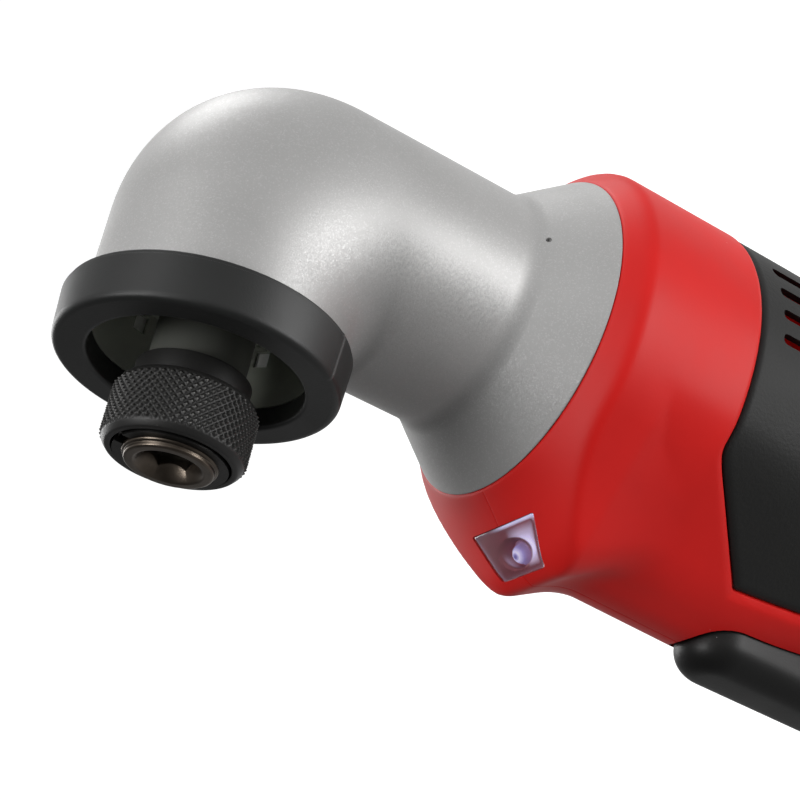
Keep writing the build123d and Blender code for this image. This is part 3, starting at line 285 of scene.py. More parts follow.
def place(tree, kind, feeds=None, **settings):
    """Add a node, set its properties and feed its inputs."""
    made = tree.nodes.new(kind)
    for key, value in settings.items():
        setattr(made, key, value)
    wire(tree, made, feeds or {})
    return made


def sums(tree, operation, *values):
    """A Math node on values or outputs."""
    return place(tree, "ShaderNodeMath", dict(enumerate(values)), operation=operation).outputs[0]


def vector_sums(tree, operation, feeds):
    """A Vector Math node."""
    return place(tree, "ShaderNodeVectorMath", feeds, operation=operation).outputs[0]


def split(tree, vector):
    """X, Y and Z of a vector."""
    return place(tree, "ShaderNodeSeparateXYZ", {0: vector}).outputs


def stretch(tree, value, low, high, to_low=0.0, to_high=1.0):
    """Map a range of values to another, held at its ends."""
    feeds = {"Value": value, "From Min": low, "From Max": high, "To Min": to_low, "To Max": to_high}
    return place(tree, "ShaderNodeMapRange", feeds, clamp=True).outputs["Result"]


def blend_colours(tree, share, one, other):
    """One colour where the share is 0, the other where it is 1. Colours are outputs or three numbers."""
    one, other = (c if isinstance(c, bpy.types.NodeSocket) else (*c, 1) for c in (one, other))
    return place(tree, "ShaderNodeMix", {0: share, 6: one, 7: other}, data_type="RGBA").outputs[2]


def in_cells(tree, vector, size):
    """Coordinates counted in cells of a size given in millimetres."""
    return vector_sums(tree, "SCALE", {0: vector, "Scale": sums(tree, "DIVIDE", 1000.0, size)})


def noise(tree, vector, size, detail):
    """Noise whose lumps have a size in millimetres."""
    feeds = {"Vector": in_cells(tree, vector, size), "Scale": 1.0, "Detail": detail}
    return place(tree, "ShaderNodeTexNoise", feeds).outputs[0]


def scatter(tree, vector, size):
    """Random cells of a size in millimetres: their colours and the distances from their middles."""
    return place(tree, "ShaderNodeTexVoronoi", {"Vector": in_cells(tree, vector, size), "Scale": 1.0}).outputs


def mottle(tree, vector, size):
    """Soft patches, widened to the whole range from 0 to 1."""
    return stretch(tree, noise(tree, vector, size, 3.0), 0.3, 0.7)


def effect_group(name, values, **outputs):
    """An empty node group that takes a vector and named values, with outputs by name and kind."""
    tree = bpy.data.node_groups.new(name, "ShaderNodeTree")
    tree.interface.new_socket("Vector", in_out="INPUT", socket_type="NodeSocketVector")
    for label, value in values.items():
        socket = tree.interface.new_socket(label, in_out="INPUT", socket_type="NodeSocketFloat")
        socket.default_value = value
    for label, kind in outputs.items():
        tree.interface.new_socket(label, in_out="OUTPUT", socket_type="NodeSocket" + kind)
    return tree, tree.nodes.new("NodeGroupInput").outputs, tree.nodes.new("NodeGroupOutput")


print("node helpers ready")

# %% Shared effects
grain, inside, out = effect_group("moulding_grain", {"Size": 0.3}, Height="Float", Mottle="Float")
broad = sums(grain, "MULTIPLY", inside["Size"], 40.0)
wire(grain, out, {
    "Height": noise(grain, inside["Vector"], inside["Size"], 2.0),
    "Mottle": mottle(grain, inside["Vector"], broad),
})

flake, inside, out = effect_group("paint_flake", {"Size": 0.2}, Lean="Vector", Spark="Float", Mottle="Float")
chance = scatter(flake, inside["Vector"], inside["Size"])["Color"]
broad = sums(flake, "MULTIPLY", inside["Size"], 60.0)
wire(flake, out, {
    "Lean": vector_sums(flake, "SUBTRACT", {0: chance, 1: (0.5, 0.5, 0.5)}),
    "Spark": place(flake, "ShaderNodeSeparateColor", {"Color": chance}).outputs[2],
    "Mottle": mottle(flake, inside["Vector"], broad),
})

dust, inside, out = effect_group("settled_dust", {"Spacing": 4.0, "Speck": 0.04}, Mask="Float")
away = scatter(dust, inside["Vector"], inside["Spacing"])["Distance"]
patches = stretch(dust, noise(dust, inside["Vector"], 14.0, 1.0), 0.35, 0.65)
wire(dust, out, {"Mask": sums(dust, "LESS_THAN", away, sums(dust, "MULTIPLY", inside["Speck"], patches))})

turning, inside, out = effect_group("turning_marks", {"Pitch": 0.15}, Height="Float", Mottle="Float")
x, y, z = split(turning, inside["Vector"])
squares = sums(turning, "ADD", sums(turning, "POWER", x, 2.0), sums(turning, "POWER", y, 2.0))
travel = sums(turning, "ADD", sums(turning, "SQRT", squares), z)
count = sums(turning, "MULTIPLY", travel, sums(turning, "DIVIDE", 1000.0, inside["Pitch"]))
lines = place(turning, "ShaderNodeTexNoise", {"W": count, "Scale": 1.0, "Detail": 2.0}, noise_dimensions="1D")
wire(turning, out, {"Height": lines.outputs[0], "Mottle": mottle(turning, inside["Vector"], 3.0)})
print("effects:", [group.name for group in bpy.data.node_groups])

# %% [markdown]
# ## Finishes: the materials themselves
# The case is sprayed with silver paint whose flakes lie at slightly different angles, so it glitters near a
# highlight. The handle and grips are moulded, with a fine grain from the tool's steel. The chuck is blackened
# steel, worn bright at the peaks of the knurl. Each finish takes the effects above with its own sizes.

# %% Moulded, turned and sprayed finishes
def begin_finish(name):
    """A material with a Principled shader and Object coordinates."""
    material = bpy.data.materials.new(name)
    material.use_nodes = True
    tree = material.node_tree
    return material, tree, tree.nodes["Principled BSDF"], tree.nodes.new("ShaderNodeTexCoord").outputs["Object"]


def effect(tree, group, coords, **feeds):
    """Place a shared effect with its own values."""
    return place(tree, "ShaderNodeGroup", {"Vector": coords, **feeds}, node_tree=group).outputs


def bumped(tree, height, depth_mm):
    """A normal that is tilted by a height in 0..1, for a depth in millimetres."""
    feeds = {"Height": height, "Distance": depth_mm * MM, "Strength": 1.0}
    return place(tree, "ShaderNodeBump", feeds).outputs[0]


def tints(colour, vary):
    """A colour made darker and lighter by a share."""
    return [channel * (1 - vary) for channel in colour], [min(1, channel * (1 + vary)) for channel in colour]


def on_head_axis(tree, coords):
    """Coordinates whose third axis is the head's."""
    feeds = {"Vector": coords, "Location": (0, 0, HEAD_Z * MM), "Rotation": (np.pi / 2, 0, 0)}
    return place(tree, "ShaderNodeMapping", feeds, vector_type="TEXTURE").outputs[0]


def moulded(name, colour, rough, grain_mm=0.3, depth_mm=0.02, vary=0.12, shine=0.5, speck=0.03, spacing=5.0):
    """Moulded plastic or rubber: grain in the normal, mottled colour and roughness, a little settled dust."""
    material, tree, shader, coords = begin_finish(name)
    surface = effect(tree, grain, coords, Size=grain_mm)
    specks = effect(tree, dust, coords, Spacing=spacing, Speck=speck)["Mask"]
    body_colour = blend_colours(tree, surface["Mottle"], *tints(colour, vary))
    pale = [min(1, 0.25 + 0.6 * channel) for channel in colour]
    wire(tree, shader, {
        "Base Color": blend_colours(tree, specks, body_colour, pale),
        "Roughness": stretch(tree, surface["Mottle"], 0, 1, rough - 0.04, rough + 0.05),
        "Specular IOR Level": shine,
        "Normal": bumped(tree, surface["Height"], depth_mm),
    })
    return material


def machined(name, colour, rough, on_head=False, pitch_mm=0.15, depth_mm=0.004, vary=0.2):
    """Turned or drawn metal: fine rings about an axis, with stained colour and roughness."""
    material, tree, shader, coords = begin_finish(name)
    marks = effect(tree, turning, on_head_axis(tree, coords) if on_head else coords, Pitch=pitch_mm)
    wire(tree, shader, {
        "Base Color": blend_colours(tree, marks["Mottle"], *tints(colour, vary)),
        "Roughness": stretch(tree, marks["Height"], 0.2, 0.8, rough - 0.06, rough + 0.08),
        "Metallic": 1.0,
        "Normal": bumped(tree, marks["Height"], depth_mm),
    })
    return material


def silver_spray():
    """Silver paint: the normal leans by a random share per flake, and flakes differ in brightness.
    Within the head's bore, which is found by the squared distance from its axis, the metal is bare and pale,
    and paler still as painted light, since that bore lies in shade behind the cup's windows."""
    material, tree, shader, coords = begin_finish("silver_spray")
    flakes = effect(tree, flake, coords, Size=0.16)
    normal = tree.nodes.new("ShaderNodeNewGeometry").outputs["Normal"]
    lean = vector_sums(tree, "SCALE", {0: flakes["Lean"], "Scale": 0.08})
    leaning = vector_sums(tree, "ADD", {0: normal, 1: lean})
    base = blend_colours(tree, flakes["Mottle"], (0.39, 0.386, 0.381), (0.42, 0.416, 0.411))
    paint = blend_colours(tree, stretch(tree, flakes["Spark"], 0.75, 1.0, 0, 0.3), base, (0.62, 0.62, 0.62))
    x, y, z = split(tree, coords)
    up = sums(tree, "SUBTRACT", z, HEAD_Z * MM)
    square = sums(tree, "ADD", sums(tree, "MULTIPLY", x, x), sums(tree, "MULTIPLY", up, up))
    within = stretch(tree, square, 0.0168**2, 0.0166**2)
    # Painted light: the shaded bore is given a near white, so that it reads as lit through the cup's windows.
    bore_painted_light = sums(tree, "MULTIPLY", within, stretch(tree, y, -0.014, -0.015))
    wire(tree, shader, {
        "Base Color": blend_colours(tree, bore_painted_light, paint, (0.9, 0.9, 0.88)),
        "Roughness": stretch(tree, flakes["Spark"], 0, 1, 0.52, 0.44),
        "Metallic": 0.45,
        "Normal": vector_sums(tree, "NORMALIZE", {0: leaning}),
    })
    return material


SILVER = silver_spray()
RED = moulded("red_moulding", (0.63, 0.010, 0.008), 0.5, 0.35, 0.012, 0.06, 0.25, 0.028, 7.0)
RUBBER = moulded("grip_rubber", (0.010, 0.010, 0.0095), 0.62, 0.55, 0.05, 0.2, 0.3, 0.03, 4.0)
BLACK = moulded("black_moulding", (0.009, 0.009, 0.0088), 0.42, 0.35, 0.012, 0.15, 0.22, 0.025, 4.5)
# Painted light: the cup's dark plastic is given a mid grey, so that its shaded inside reads as lit.
CUP_PAINTED_LIGHT = moulded("cup_moulding_painted_light", (0.34, 0.355, 0.305), 0.5, 0.3, 0.012, 0.2, 0.4, 0.02, 3.0)
STEEL = machined("bright_steel", (0.56, 0.55, 0.54), 0.3)
HEAD_STEEL = machined("bright_steel_head", (0.56, 0.55, 0.54), 0.3, on_head=True)
OXIDE = machined("blackened_steel", (0.035, 0.034, 0.033), 0.4)
print("finishes so far:", len(bpy.data.materials))

# %% [markdown]
# ## Finishes that follow a mark on the mesh
# The knurl's peaks, the ring's moulding line and the lamp's painted glints are places on a mesh,
# not on a pattern.
# The meshes carry them as attributes, which these finishes read.
# Clear plastic keeps a plain transmission, because only its colour and grain change over the surface.

# %% Knurl, guard ring, lens, lamp and nose
def mark(tree, name):
    """A value that the mesh carries at its points."""
    return place(tree, "ShaderNodeAttribute", attribute_name=name).outputs["Fac"]


def knurled():
    """Blackened steel whose colour and roughness follow the height of the knurl."""
    material, tree, shader, coords = begin_finish("knurled_black")
    surface = effect(tree, grain, coords, Size=0.25)
    high = stretch(tree, mark(tree, "peak"), 0.6, 1.0, 0, 0.9)
    worn = sums(tree, "MULTIPLY", high, stretch(tree, surface["Mottle"], 0, 1, 0.35, 1))
    specks = effect(tree, dust, coords, Spacing=1.6, Speck=0.05)["Mask"]
    colour = blend_colours(tree, worn, (0.018, 0.0175, 0.017), (0.22, 0.215, 0.205))
    wire(tree, shader, {
        "Base Color": blend_colours(tree, specks, colour, (0.22, 0.21, 0.2)),
        "Roughness": stretch(tree, worn, 0, 1, 0.46, 0.34),
        "Metallic": 0.35,
        "Normal": bumped(tree, surface["Height"], 0.01),
    })
    return material


def guard_moulding():
    """Black rubber, paler along its moulding line, with grain and dust."""
    material, tree, shader, coords = begin_finish("guard_moulding")
    surface = effect(tree, grain, coords, Size=0.3)
    specks = effect(tree, dust, coords, Spacing=3.0, Speck=0.024)["Mask"]
    body_colour = blend_colours(tree, surface["Mottle"], (0.0095, 0.010, 0.0098), (0.013, 0.0135, 0.0132))
    lined = blend_colours(tree, mark(tree, "mould_line"), body_colour, (0.06, 0.06, 0.06))
    wire(tree, shader, {
        "Base Color": blend_colours(tree, specks, lined, (0.16, 0.16, 0.16)),
        "Roughness": stretch(tree, surface["Mottle"], 0, 1, 0.42, 0.5),
        "Specular IOR Level": 0.4,
        "Normal": bumped(tree, surface["Height"], 0.014),
    })
    return material


def clear_moulding(name, tint, rough):
    """Clear plastic: plain transmission, with a slightly clouded tint."""
    material, tree, shader, coords = begin_finish(name)
    surface = effect(tree, grain, coords, Size=0.6)
    wire(tree, shader, {
        "Base Color": blend_colours(tree, surface["Mottle"], [channel * 0.93 for channel in tint], tint),
        "Roughness": stretch(tree, surface["Mottle"], 0, 1, rough, rough + 0.06),
        "Transmission Weight": 1.0,
        "IOR": 1.49,
        "Normal": bumped(tree, surface["Height"], 0.01),
    })
    return material


DOME_STOPS = [
    (0.0, (0.12, 0.1, 0.3, 1)), (0.1, (0.25, 0.22, 0.5, 1)), (0.24, (0.85, 0.85, 1, 1)),
    (0.42, (0.34, 0.3, 0.6, 1)), (0.6, (0.3, 0.16, 0.24, 1)), (1.0, (0.24, 0.1, 0.12, 1)),
]


def lit_dome():
    """A lit emitter: a dark middle, a bright ring round it and a mauve foot, by the distance from its axis."""
    material, tree, shader, _ = begin_finish("lit_dome")
    ramp = place(tree, "ShaderNodeValToRGB", {0: mark(tree, "from_axis")})
    stops = ramp.color_ramp.elements
    stops[0].color, stops[1].color = DOME_STOPS[0][1], DOME_STOPS[-1][1]
    for position, colour in DOME_STOPS[1:-1]:
        stops.new(position).color = colour
    colour = ramp.outputs[0]
    glow = {"Emission Color": colour, "Emission Strength": 0.5}
    wire(tree, shader, {"Base Color": colour, "Roughness": 0.2, **glow})
    return material


def tray_with_painted_glint():
    """A mauve tray. Where the mesh marks it, a painted glint: a pale colour and a glow stand in for the
    emitter's light thrown back by polished walls, and for reflections along the lens's edge.
    """
    material, tree, shader, coords = begin_finish("lamp_tray")
    painted_glint = mark(tree, "painted_glint")
    surface = effect(tree, grain, coords, Size=0.5)
    dull = blend_colours(tree, surface["Mottle"], (0.42, 0.1, 0.105), (0.52, 0.14, 0.15))
    wire(tree, shader, {
        "Base Color": blend_colours(tree, painted_glint, dull, (0.86, 0.83, 0.98)),
        "Emission Color": blend_colours(tree, painted_glint, (0, 0, 0), (0.8, 0.78, 1)),
        "Emission Strength": 0.7,
        "Roughness": stretch(tree, painted_glint, 0, 1, 0.4, 0.15),
        "Normal": bumped(tree, surface["Height"], 0.01),
    })
    return material


def nose_steel_and_painted_shade():
    """Tempered steel at the nose and, behind it, a dull dark grey that is painted shade.
    The two are told apart by the distance along the head.
    """
    material, tree, shader, coords = begin_finish("spindle_steel_painted_shade")
    unshaded_nose = stretch(tree, split(tree, coords)["Y"], -0.0385, -0.0395)
    marks = effect(tree, turning, on_head_axis(tree, coords), Pitch=0.12)
    steel = blend_colours(tree, marks["Mottle"], (0.085, 0.069, 0.055), (0.13, 0.108, 0.088))
    # Painted shade: behind the nose the steel loses its metal and takes a dull dark grey, like the shade inside
    # the collar.
    wire(tree, shader, {
        "Base Color": blend_colours(tree, unshaded_nose, (0.08, 0.083, 0.072), steel),
        "Roughness": stretch(tree, unshaded_nose, 0, 1, 0.65, 0.34),
        "Metallic": unshaded_nose,
        "Normal": bumped(tree, marks["Height"], 0.003),
    })
    return material


NOSE_STEEL, KNURL, GUARD, LAMP, TRAY = nose_steel_and_painted_shade(), knurled(), guard_moulding(), lit_dome(), tray_with_painted_glint()
LENS = clear_moulding("lamp_clear", (0.9, 0.86, 0.96), 0.03)
print("finishes so far:", len(bpy.data.materials))

# %% [markdown]
# ## Finishes on the carried-over solids
# Gears, bearings, the motor and the cells keep their CAD meshes: their shapes are right, and they sit inside.
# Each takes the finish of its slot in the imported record, so none is left with a flat colour.

# %% Dress the CAD nodes
BY_SLOT = {
    "silver_paint": SILVER, "black_rubber": RUBBER, "black_plastic": BLACK, "black_oxide": OXIDE,
    "steel": STEEL, "red_plastic": RED, "lamp": TRAY,
    "dark_steel": machined("tempered_steel", (0.085, 0.07, 0.058), 0.3, True, 0.12, 0.003, 0.25),
    "bronze": machined("sintered_bronze", (0.45, 0.27, 0.12), 0.45, pitch_mm=0.3),
    "alloy": machined("cast_alloy", (0.42, 0.42, 0.43), 0.5, pitch_mm=0.4, depth_mm=0.01),
    "copper": machined("enamelled_copper", (0.62, 0.25, 0.1), 0.3, pitch_mm=0.5, depth_mm=0.05),
    "contact_metal": machined("plated_contact", (0.72, 0.62, 0.42), 0.28, pitch_mm=0.3),
    "magnet": moulded("sintered_magnet", (0.05, 0.05, 0.055), 0.55, 0.2, 0.02),
    "grey_plastic": moulded("grey_moulding", (0.2, 0.2, 0.21), 0.5, 0.4, 0.015, 0.1),
    "carbon": moulded("pressed_carbon", (0.03, 0.03, 0.032), 0.6, 0.25, 0.02),
    "circuit_board": moulded("circuit_board", (0.012, 0.11, 0.035), 0.35, 0.6, 0.012, 0.25),
    "lead_insulation": moulded("lead_insulation", (0.025, 0.025, 0.03), 0.5, 0.4, 0.01),
    "cell_wrap": moulded("cell_wrap", (0.05, 0.16, 0.32), 0.35, 1.2, 0.015, 0.15),
    "clear_plastic": clear_moulding("gauge_smoke", (0.35, 0.36, 0.38), 0.08),
}
# The cup takes the mid grey of painted light, which lifts its shaded inside.
BY_NAME = {"bearing_retainer": CUP_PAINTED_LIGHT, "retaining_ring": OXIDE}
BY_NAME.update(dict.fromkeys(("bevel_wheel", "sleeve_spring", "bit_ball_right", "bit_ball_left"), HEAD_STEEL))
for subpart in frame["record"]["subparts"]:
    solid = frame["nodes"][subpart["node"]]
    solid.data.materials.clear()
    solid.data.materials.append(BY_NAME.get(solid.name, BY_SLOT[subpart["material_slot"]]))

# %% [markdown]
# ## The gear case
# This is a die casting in silver paint: a head and a neck that meet in a soft elbow, then a flange that flares
# to the handle. It could be two cylinders joined by a boolean, but that leaves a hard seam where they meet.
# Here one skin runs from the flange to the mouth. Across the elbow its rows are ovals on planes that fan about
# the inner corner.

# %% Elbow rows
HEAD_R, NECK_R, BEND = 17.1, 18.2, 8.0
ELBOW_S, ELBOW_D = 21.2, 22.5


def elbow_rows(fan, turn):
    """Ovals on fanned planes. The inner end eases from the head's corner to the neck's. The outer end lies on
    the head's top line, then on a quarter of an ellipse, then on the neck's back line."""
    sine, cosine = np.sin(fan), np.cos(fan)
    share = sine**2
    inner = (ELBOW_D - HEAD_R) * (1 - share) + (ELBOW_S - NECK_R) * share
    wide, high = NECK_R + BEND, HEAD_R + BEND
    across, down = ELBOW_S - BEND, ELBOW_D - BEND
    a = (sine / wide) ** 2 + (cosine / high) ** 2
    b = -2 * (across * sine / wide**2 + down * cosine / high**2)
    c = (across / wide) ** 2 + (down / high) ** 2 - 1
    on_ellipse = (-b + np.sqrt(b * b - 4 * a * c)) / (2 * a)
    safe_cosine, safe_sine = np.maximum(cosine, 1e-6), np.maximum(sine, 1e-6)
    top, back = (ELBOW_D + HEAD_R) / safe_cosine, (ELBOW_S + NECK_R) / safe_sine
    on_top = ELBOW_S - (ELBOW_D + HEAD_R) * sine / safe_cosine >= BEND
    on_back = ELBOW_D - (ELBOW_S + NECK_R) * cosine / safe_sine >= BEND
    outer = np.where(on_top, top, np.where(on_back, back, on_ellipse))
    half_wide = (HEAD_R * (1 - share) + NECK_R * share)[:, None]
    reach = ((inner + outer) / 2)[:, None] + ((outer - inner) / 2)[:, None] * np.cos(turn)
    y, z = reach * sine[:, None] - ELBOW_S, HEAD_Z - ELBOW_D + reach * cosine[:, None]
    return pack(half_wide * np.sin(turn), y, z)


turn = full_circle(168)
neck_line = soft_corners(
    [(66, 0, 0), (66, 23.8, 0.6), (46.4, 23.8, 0), (46.4, 25.2, 0.3), (36.8, 18.2, 1.7), (22.5, 18.2, 0)],
    closed=False)
mouth_line = soft_corners([(21.2, 17.1, 0), (21.2, 16.4, 0), (25, 16.4, 0.2), (25, 0, 0)], closed=False)
case_rows = np.concatenate([
    about_barrel(neck_line[:, :1], neck_line[:, 1:], turn),
    elbow_rows(np.radians(np.linspace(90, 0, 73)), turn),
    about_head(mouth_line[:, :1], mouth_line[:, 1:], turn),
])
gear_case = sheet("gear_case_casting", case_rows, SILVER, "housing", "silver_paint", ("gear_case",))

# %% [markdown]
# ### Bores in the case
# The bearings, gears and hammer need room, and the mouth is open to the front, so the case is bored along both
# axes. Each boring bar is a turned profile. An exact boolean works here because the bars are few and plain.

# %% Bore the case
def bar(line, axis):
    """A profile of (along, radius) carried round an axis, as points and faces."""
    line = np.array(line)
    rows = axis(line[:, :1], line[:, 1:], full_circle(96))
    return rows.reshape(-1, 3), skin(*rows.shape[:2]).tolist()


head_bar = [
    (-10.2, 0), (-10.2, 6.53), (-2, 6.53), (-2, 11.9), (8.4, 11.9), (8.4, 12.03), (13.7, 12.03), (13.7, 15.45),
    (26, 15.45), (26, 0)]
barrel_bar = [
    (4, 0), (4, 9), (12.5, 9), (12.5, 13.03), (20.1, 13.03), (20.1, 15.3), (45.8, 15.3), (45.8, 17.8),
    (49.5, 17.8), (49.5, 21.83), (67, 21.83), (67, 0)]
carve(gear_case, [bar(head_bar, about_head)])
carve(gear_case, [bar(barrel_bar, about_barrel)])

# %% [markdown]
# ### A mark from casting
# On the flange's slope a small dimple is left from the casting.
# It is cut square to the slope, as a pin in the mould would leave it.

# %% Dimple in the flange
DIMPLE, DIMPLE_OUT = np.array([18.36, 5.17, 223.94]), np.array([0.778, 0.219, 0.589])
DIMPLE_SIDE = np.cross(DIMPLE_OUT, (0, 0, 1.0))
DIMPLE_SIDE /= np.linalg.norm(DIMPLE_SIDE)
DIMPLE_UP = np.cross(DIMPLE_SIDE, DIMPLE_OUT)


def at_dimple(u, v, height):
    """Two directions along the slope and one out of it."""
    return DIMPLE + u[:, None] * DIMPLE_SIDE + v[:, None] * DIMPLE_UP + height[:, None] * DIMPLE_OUT


carve(gear_case, [prism(disc(0.45, 24), -0.5, 1.0, at_dimple)])

# %% [markdown]
# ## The guard ring
# A thick black rubber ring is pushed over the mouth and keeps the head from marking the work.
# It is one closed profile turned about the head's axis. Where the two halves of its mould met, a fine raised
# line crosses it. That line is a narrow bell curve in the turn, with extra columns to carry it, and the same
# curve is kept as a mark for the finish.

# %% Ring with a moulding line
LINE_AT, LINE_HIGH, LINE_WIDE = np.radians(129.5), 0.09, 0.24
beside = np.radians(np.array([-1.8, -1.2, -0.8, -0.5, -0.25, 0, 0.25, 0.5, 0.8, 1.2, 1.8]))
ring_turn = np.sort(np.concatenate([full_circle(176), LINE_AT + beside]))
ring_line = soft_corners(
    [(21.3, 16.43, 0.2), (21.3, 19.86, 0.3), (21.95, 19.84, 0.06), (22.0, 20.1, 0.06), (28.42, 19.72, 1.0),
     (28.42, 14.9, 0.6), (25.1, 14.9, 0.1), (25.1, 16.43, 0.1)])
bell = np.exp(-(((ring_turn - LINE_AT) * 20.0 / LINE_WIDE) ** 2))
raised = bell * np.clip((ring_line[:, 1:] - 19.0) / 0.7, 0, 1)
ring_rows = about_head(ring_line[:, :1], ring_line[:, 1:] + LINE_HIGH * raised, ring_turn)
sheet("guard_ring_moulding", ring_rows, GUARD, "housing", "black_rubber", ("guard_ring",), loop=True,
      marks={"mould_line": raised})

# %% [markdown]
# ## The chuck collar
# The collar slides forward to free the bit, so it is knurled for the fingers. A diamond knurl is two sets of V
# grooves that wind opposite ways. A bump pattern would lose the saw-toothed outline, so the pyramids are real:
# the height is the smaller of two triangle waves, one along each winding, and rows and columns fall on the
# grooves.

# %% Collar with diamond knurl
STARTS, KNURL_R, KNURL_DEEP = 52, 10.0, 0.46
KNURL_BACK, KNURL_FRONT = 32.6, 40.2
KNURL_ROWS = 6.5  # diamonds along the collar
FINE = 8  # grid steps per diamond


def zigzag(value):
    """Triangle wave: 1 at whole numbers, 0 half way between."""
    return np.abs(2 * (value % 1) - 1)


collar_turn = full_circle(STARTS * FINE)
knurl_step = np.linspace(0, KNURL_ROWS, int(KNURL_ROWS * FINE) + 1)
knurl_along = KNURL_BACK + (KNURL_FRONT - KNURL_BACK) * knurl_step / KNURL_ROWS
winding = collar_turn * STARTS / (2 * np.pi)
peak = np.minimum(zigzag(winding + knurl_step[:, None]), zigzag(winding - knurl_step[:, None]))
peak = peak * ease(np.minimum(knurl_step, KNURL_ROWS - knurl_step) / 0.35)[:, None]
plain_line = soft_corners(
    [(40.3, 9.5, 0), (41.0, 8.9, 0.25), (41.0, 8.1, 0.2), (36.6, 8.1, 0), (36.6, 6.73, 0), (35.0, 6.73, 0),
     (31.4, 7.53, 0), (28.8, 7.53, 0), (28.8, 7.95, 0.15), (32.1, 7.95, 0), (32.1, 9.3, 0.1), (32.5, 9.5, 0)],
    closed=False)
plain_radius = np.broadcast_to(plain_line[:, 1:], (len(plain_line), len(collar_turn)))
collar_along = np.concatenate([knurl_along, plain_line[:, 0]])[:, None]
collar_radius = np.concatenate([KNURL_R - KNURL_DEEP * (1 - peak), plain_radius])
collar_peak = np.concatenate([peak, np.zeros_like(plain_radius)])
collar_rows = about_head(collar_along, collar_radius, collar_turn)
sheet("chuck_collar", collar_rows, KNURL, "sleeve", "black_oxide", ("chuck_sleeve",), loop=True, crisp=50,
      marks={"peak": collar_peak})

# %% [markdown]
# ## Coil springs
# Coil springs push the collar, the hammer, the trigger and the two battery latches back. A real one gets
# shorter as its joint moves. Here each is a stiff helix with its own mesh, riding on one body, and such a
# stiff copy would run through the piece that presses it.

# %% Coil springs
TRIGGER_COIL_Z, LATCH_COIL_Z = 146.0, 13.5


def about_trigger(along, out, turn):
    """The spring behind the trigger lies along y."""
    return pack(out * np.sin(turn), along, TRIGGER_COIL_Z + out * np.cos(turn))


def about_latch(along, out, turn):
    """The springs behind the battery's latches lie along x."""
    return pack(along, out * np.sin(turn), LATCH_COIL_Z + out * np.cos(turn))


def spring(name, node, size, put, body, finish):
    """A round wire along a helix. Size is radius, wire radius, low and high end, turns. At share t the wire's
    middle lies at turn 2 pi turns t and height low + wire + t (high - low - 2 wire)."""
    radius, wire_radius, low, high, turns = size
    share = np.concatenate([[0], np.linspace(0, 1, int(36 * turns) + 1), [1]])[:, None]
    thick = wire_radius * np.concatenate([[0], np.ones(len(share) - 2), [0]])[:, None]
    middle = low + wire_radius + share * (high - low - 2 * wire_radius)
    around = full_circle(12)
    rows = put(middle + thick * np.sin(around), radius + thick * np.cos(around), 2 * np.pi * turns * share)
    made = sheet(name, rows, finish, body, "steel", (node,))
    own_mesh(made)


spring("sleeve_coil", "sleeve_spring", (7.45, 0.3, 36.65, 40.45, 3), about_head, "spindle", HEAD_STEEL)
spring("hammer_coil", "hammer_spring", (9.75, 1.0, 32.6, 46.9, 3.5), about_barrel, "carrier", STEEL)
spring("trigger_coil", "trigger_spring", (3.2, 0.4, -25.55, -20.85, 3), about_trigger, "housing", STEEL)
for side, word in SIDES.items():
    low, high = sorted((side * 20.65, side * 24.35))
    spring("latch_coil_" + word, "latch_springs", (2.6, 0.3, low, high, 3), about_latch, "battery", STEEL)

# %% [markdown]
# ## The output spindle
# A turned steel spindle with a hex socket. The socket meets the conical lead-in in six scallops.
# They come for free if the cone's last row lies on the hexagon: the radius of the hexagon changes with the
# turn, and on a steep cone the depth changes by 1.3 times that amount. A cross bore holds the two balls that
# lock the bit.

# %% Spindle with hex socket
HEX_HALF, LEAD_IN, CONE_SLOPE, SOCKET_END = 3.2, 4.7, 1.3, 18.5
CONE_ROWS = (42.2, 42.05)  # the lead-in's small end and the row after it, before they sink
spindle_turn = full_circle(144)
hexagon = HEX_HALF / np.cos((spindle_turn - np.pi / 6) % (np.pi / 3) - np.pi / 6)
outside_line = soft_corners(
    [(-9.6, 0, 0), (-9.6, 3.5, 0.3), (-5.2, 3.5, 0), (-5.2, 4.5, 0), (3, 4.5, 0), (3, 5.5, 0), (8.3, 5.5, 0),
     (8.3, 7.5, 0.2), (13.5, 7.5, 0.2), (13.5, 6.7, 0), (40.5, 6.7, 0), (40.5, 6.2, 0), (41.0, 6.2, 0),
     (41.0, 6.6, 0.15), (41.5, 6.5, 0.2), (41.6, 6.15, 0.1), (42.3, 6.1, 0.45), (42.3, 4.75, 0.2),
     (42.05, 4.45, 0)], closed=False)
ones = np.ones_like(spindle_turn)
sunk = CONE_SLOPE * (LEAD_IN - hexagon)
cone_along = [start - sunk for start in CONE_ROWS]
spindle_along = np.vstack([outside_line[:, :1] * ones, *cone_along, SOCKET_END * ones, SOCKET_END * ones])
spindle_radius = np.vstack([outside_line[:, 1:] * ones, hexagon, hexagon - 0.03, hexagon - 0.03, 0 * ones])
spindle_rows = about_head(spindle_along, spindle_radius, spindle_turn)
spindle = sheet("output_spindle_turned", spindle_rows, NOSE_STEEL, "spindle", "dark_steel", ("output_spindle",),
                crisp=32)
carve(spindle, [prism(disc(2.05, 40) + (-34.6, HEAD_Z), -9, 9, along_x)], crisp=32)

# %% [markdown]
# ## The handle's outside
# The handle is two red mouldings, split on the middle plane. Its section is two half ellipses whose sizes
# change with height. In front it is cut to a cone, the bezel. Below the bezel the lamp chin stands out with
# flat sides and a flat floor, and from there a blunt ridge runs to the trigger. Each is a radius as a function
# of turn and height. Soft minimums and maximums join them, as a mould's rounded edges do.

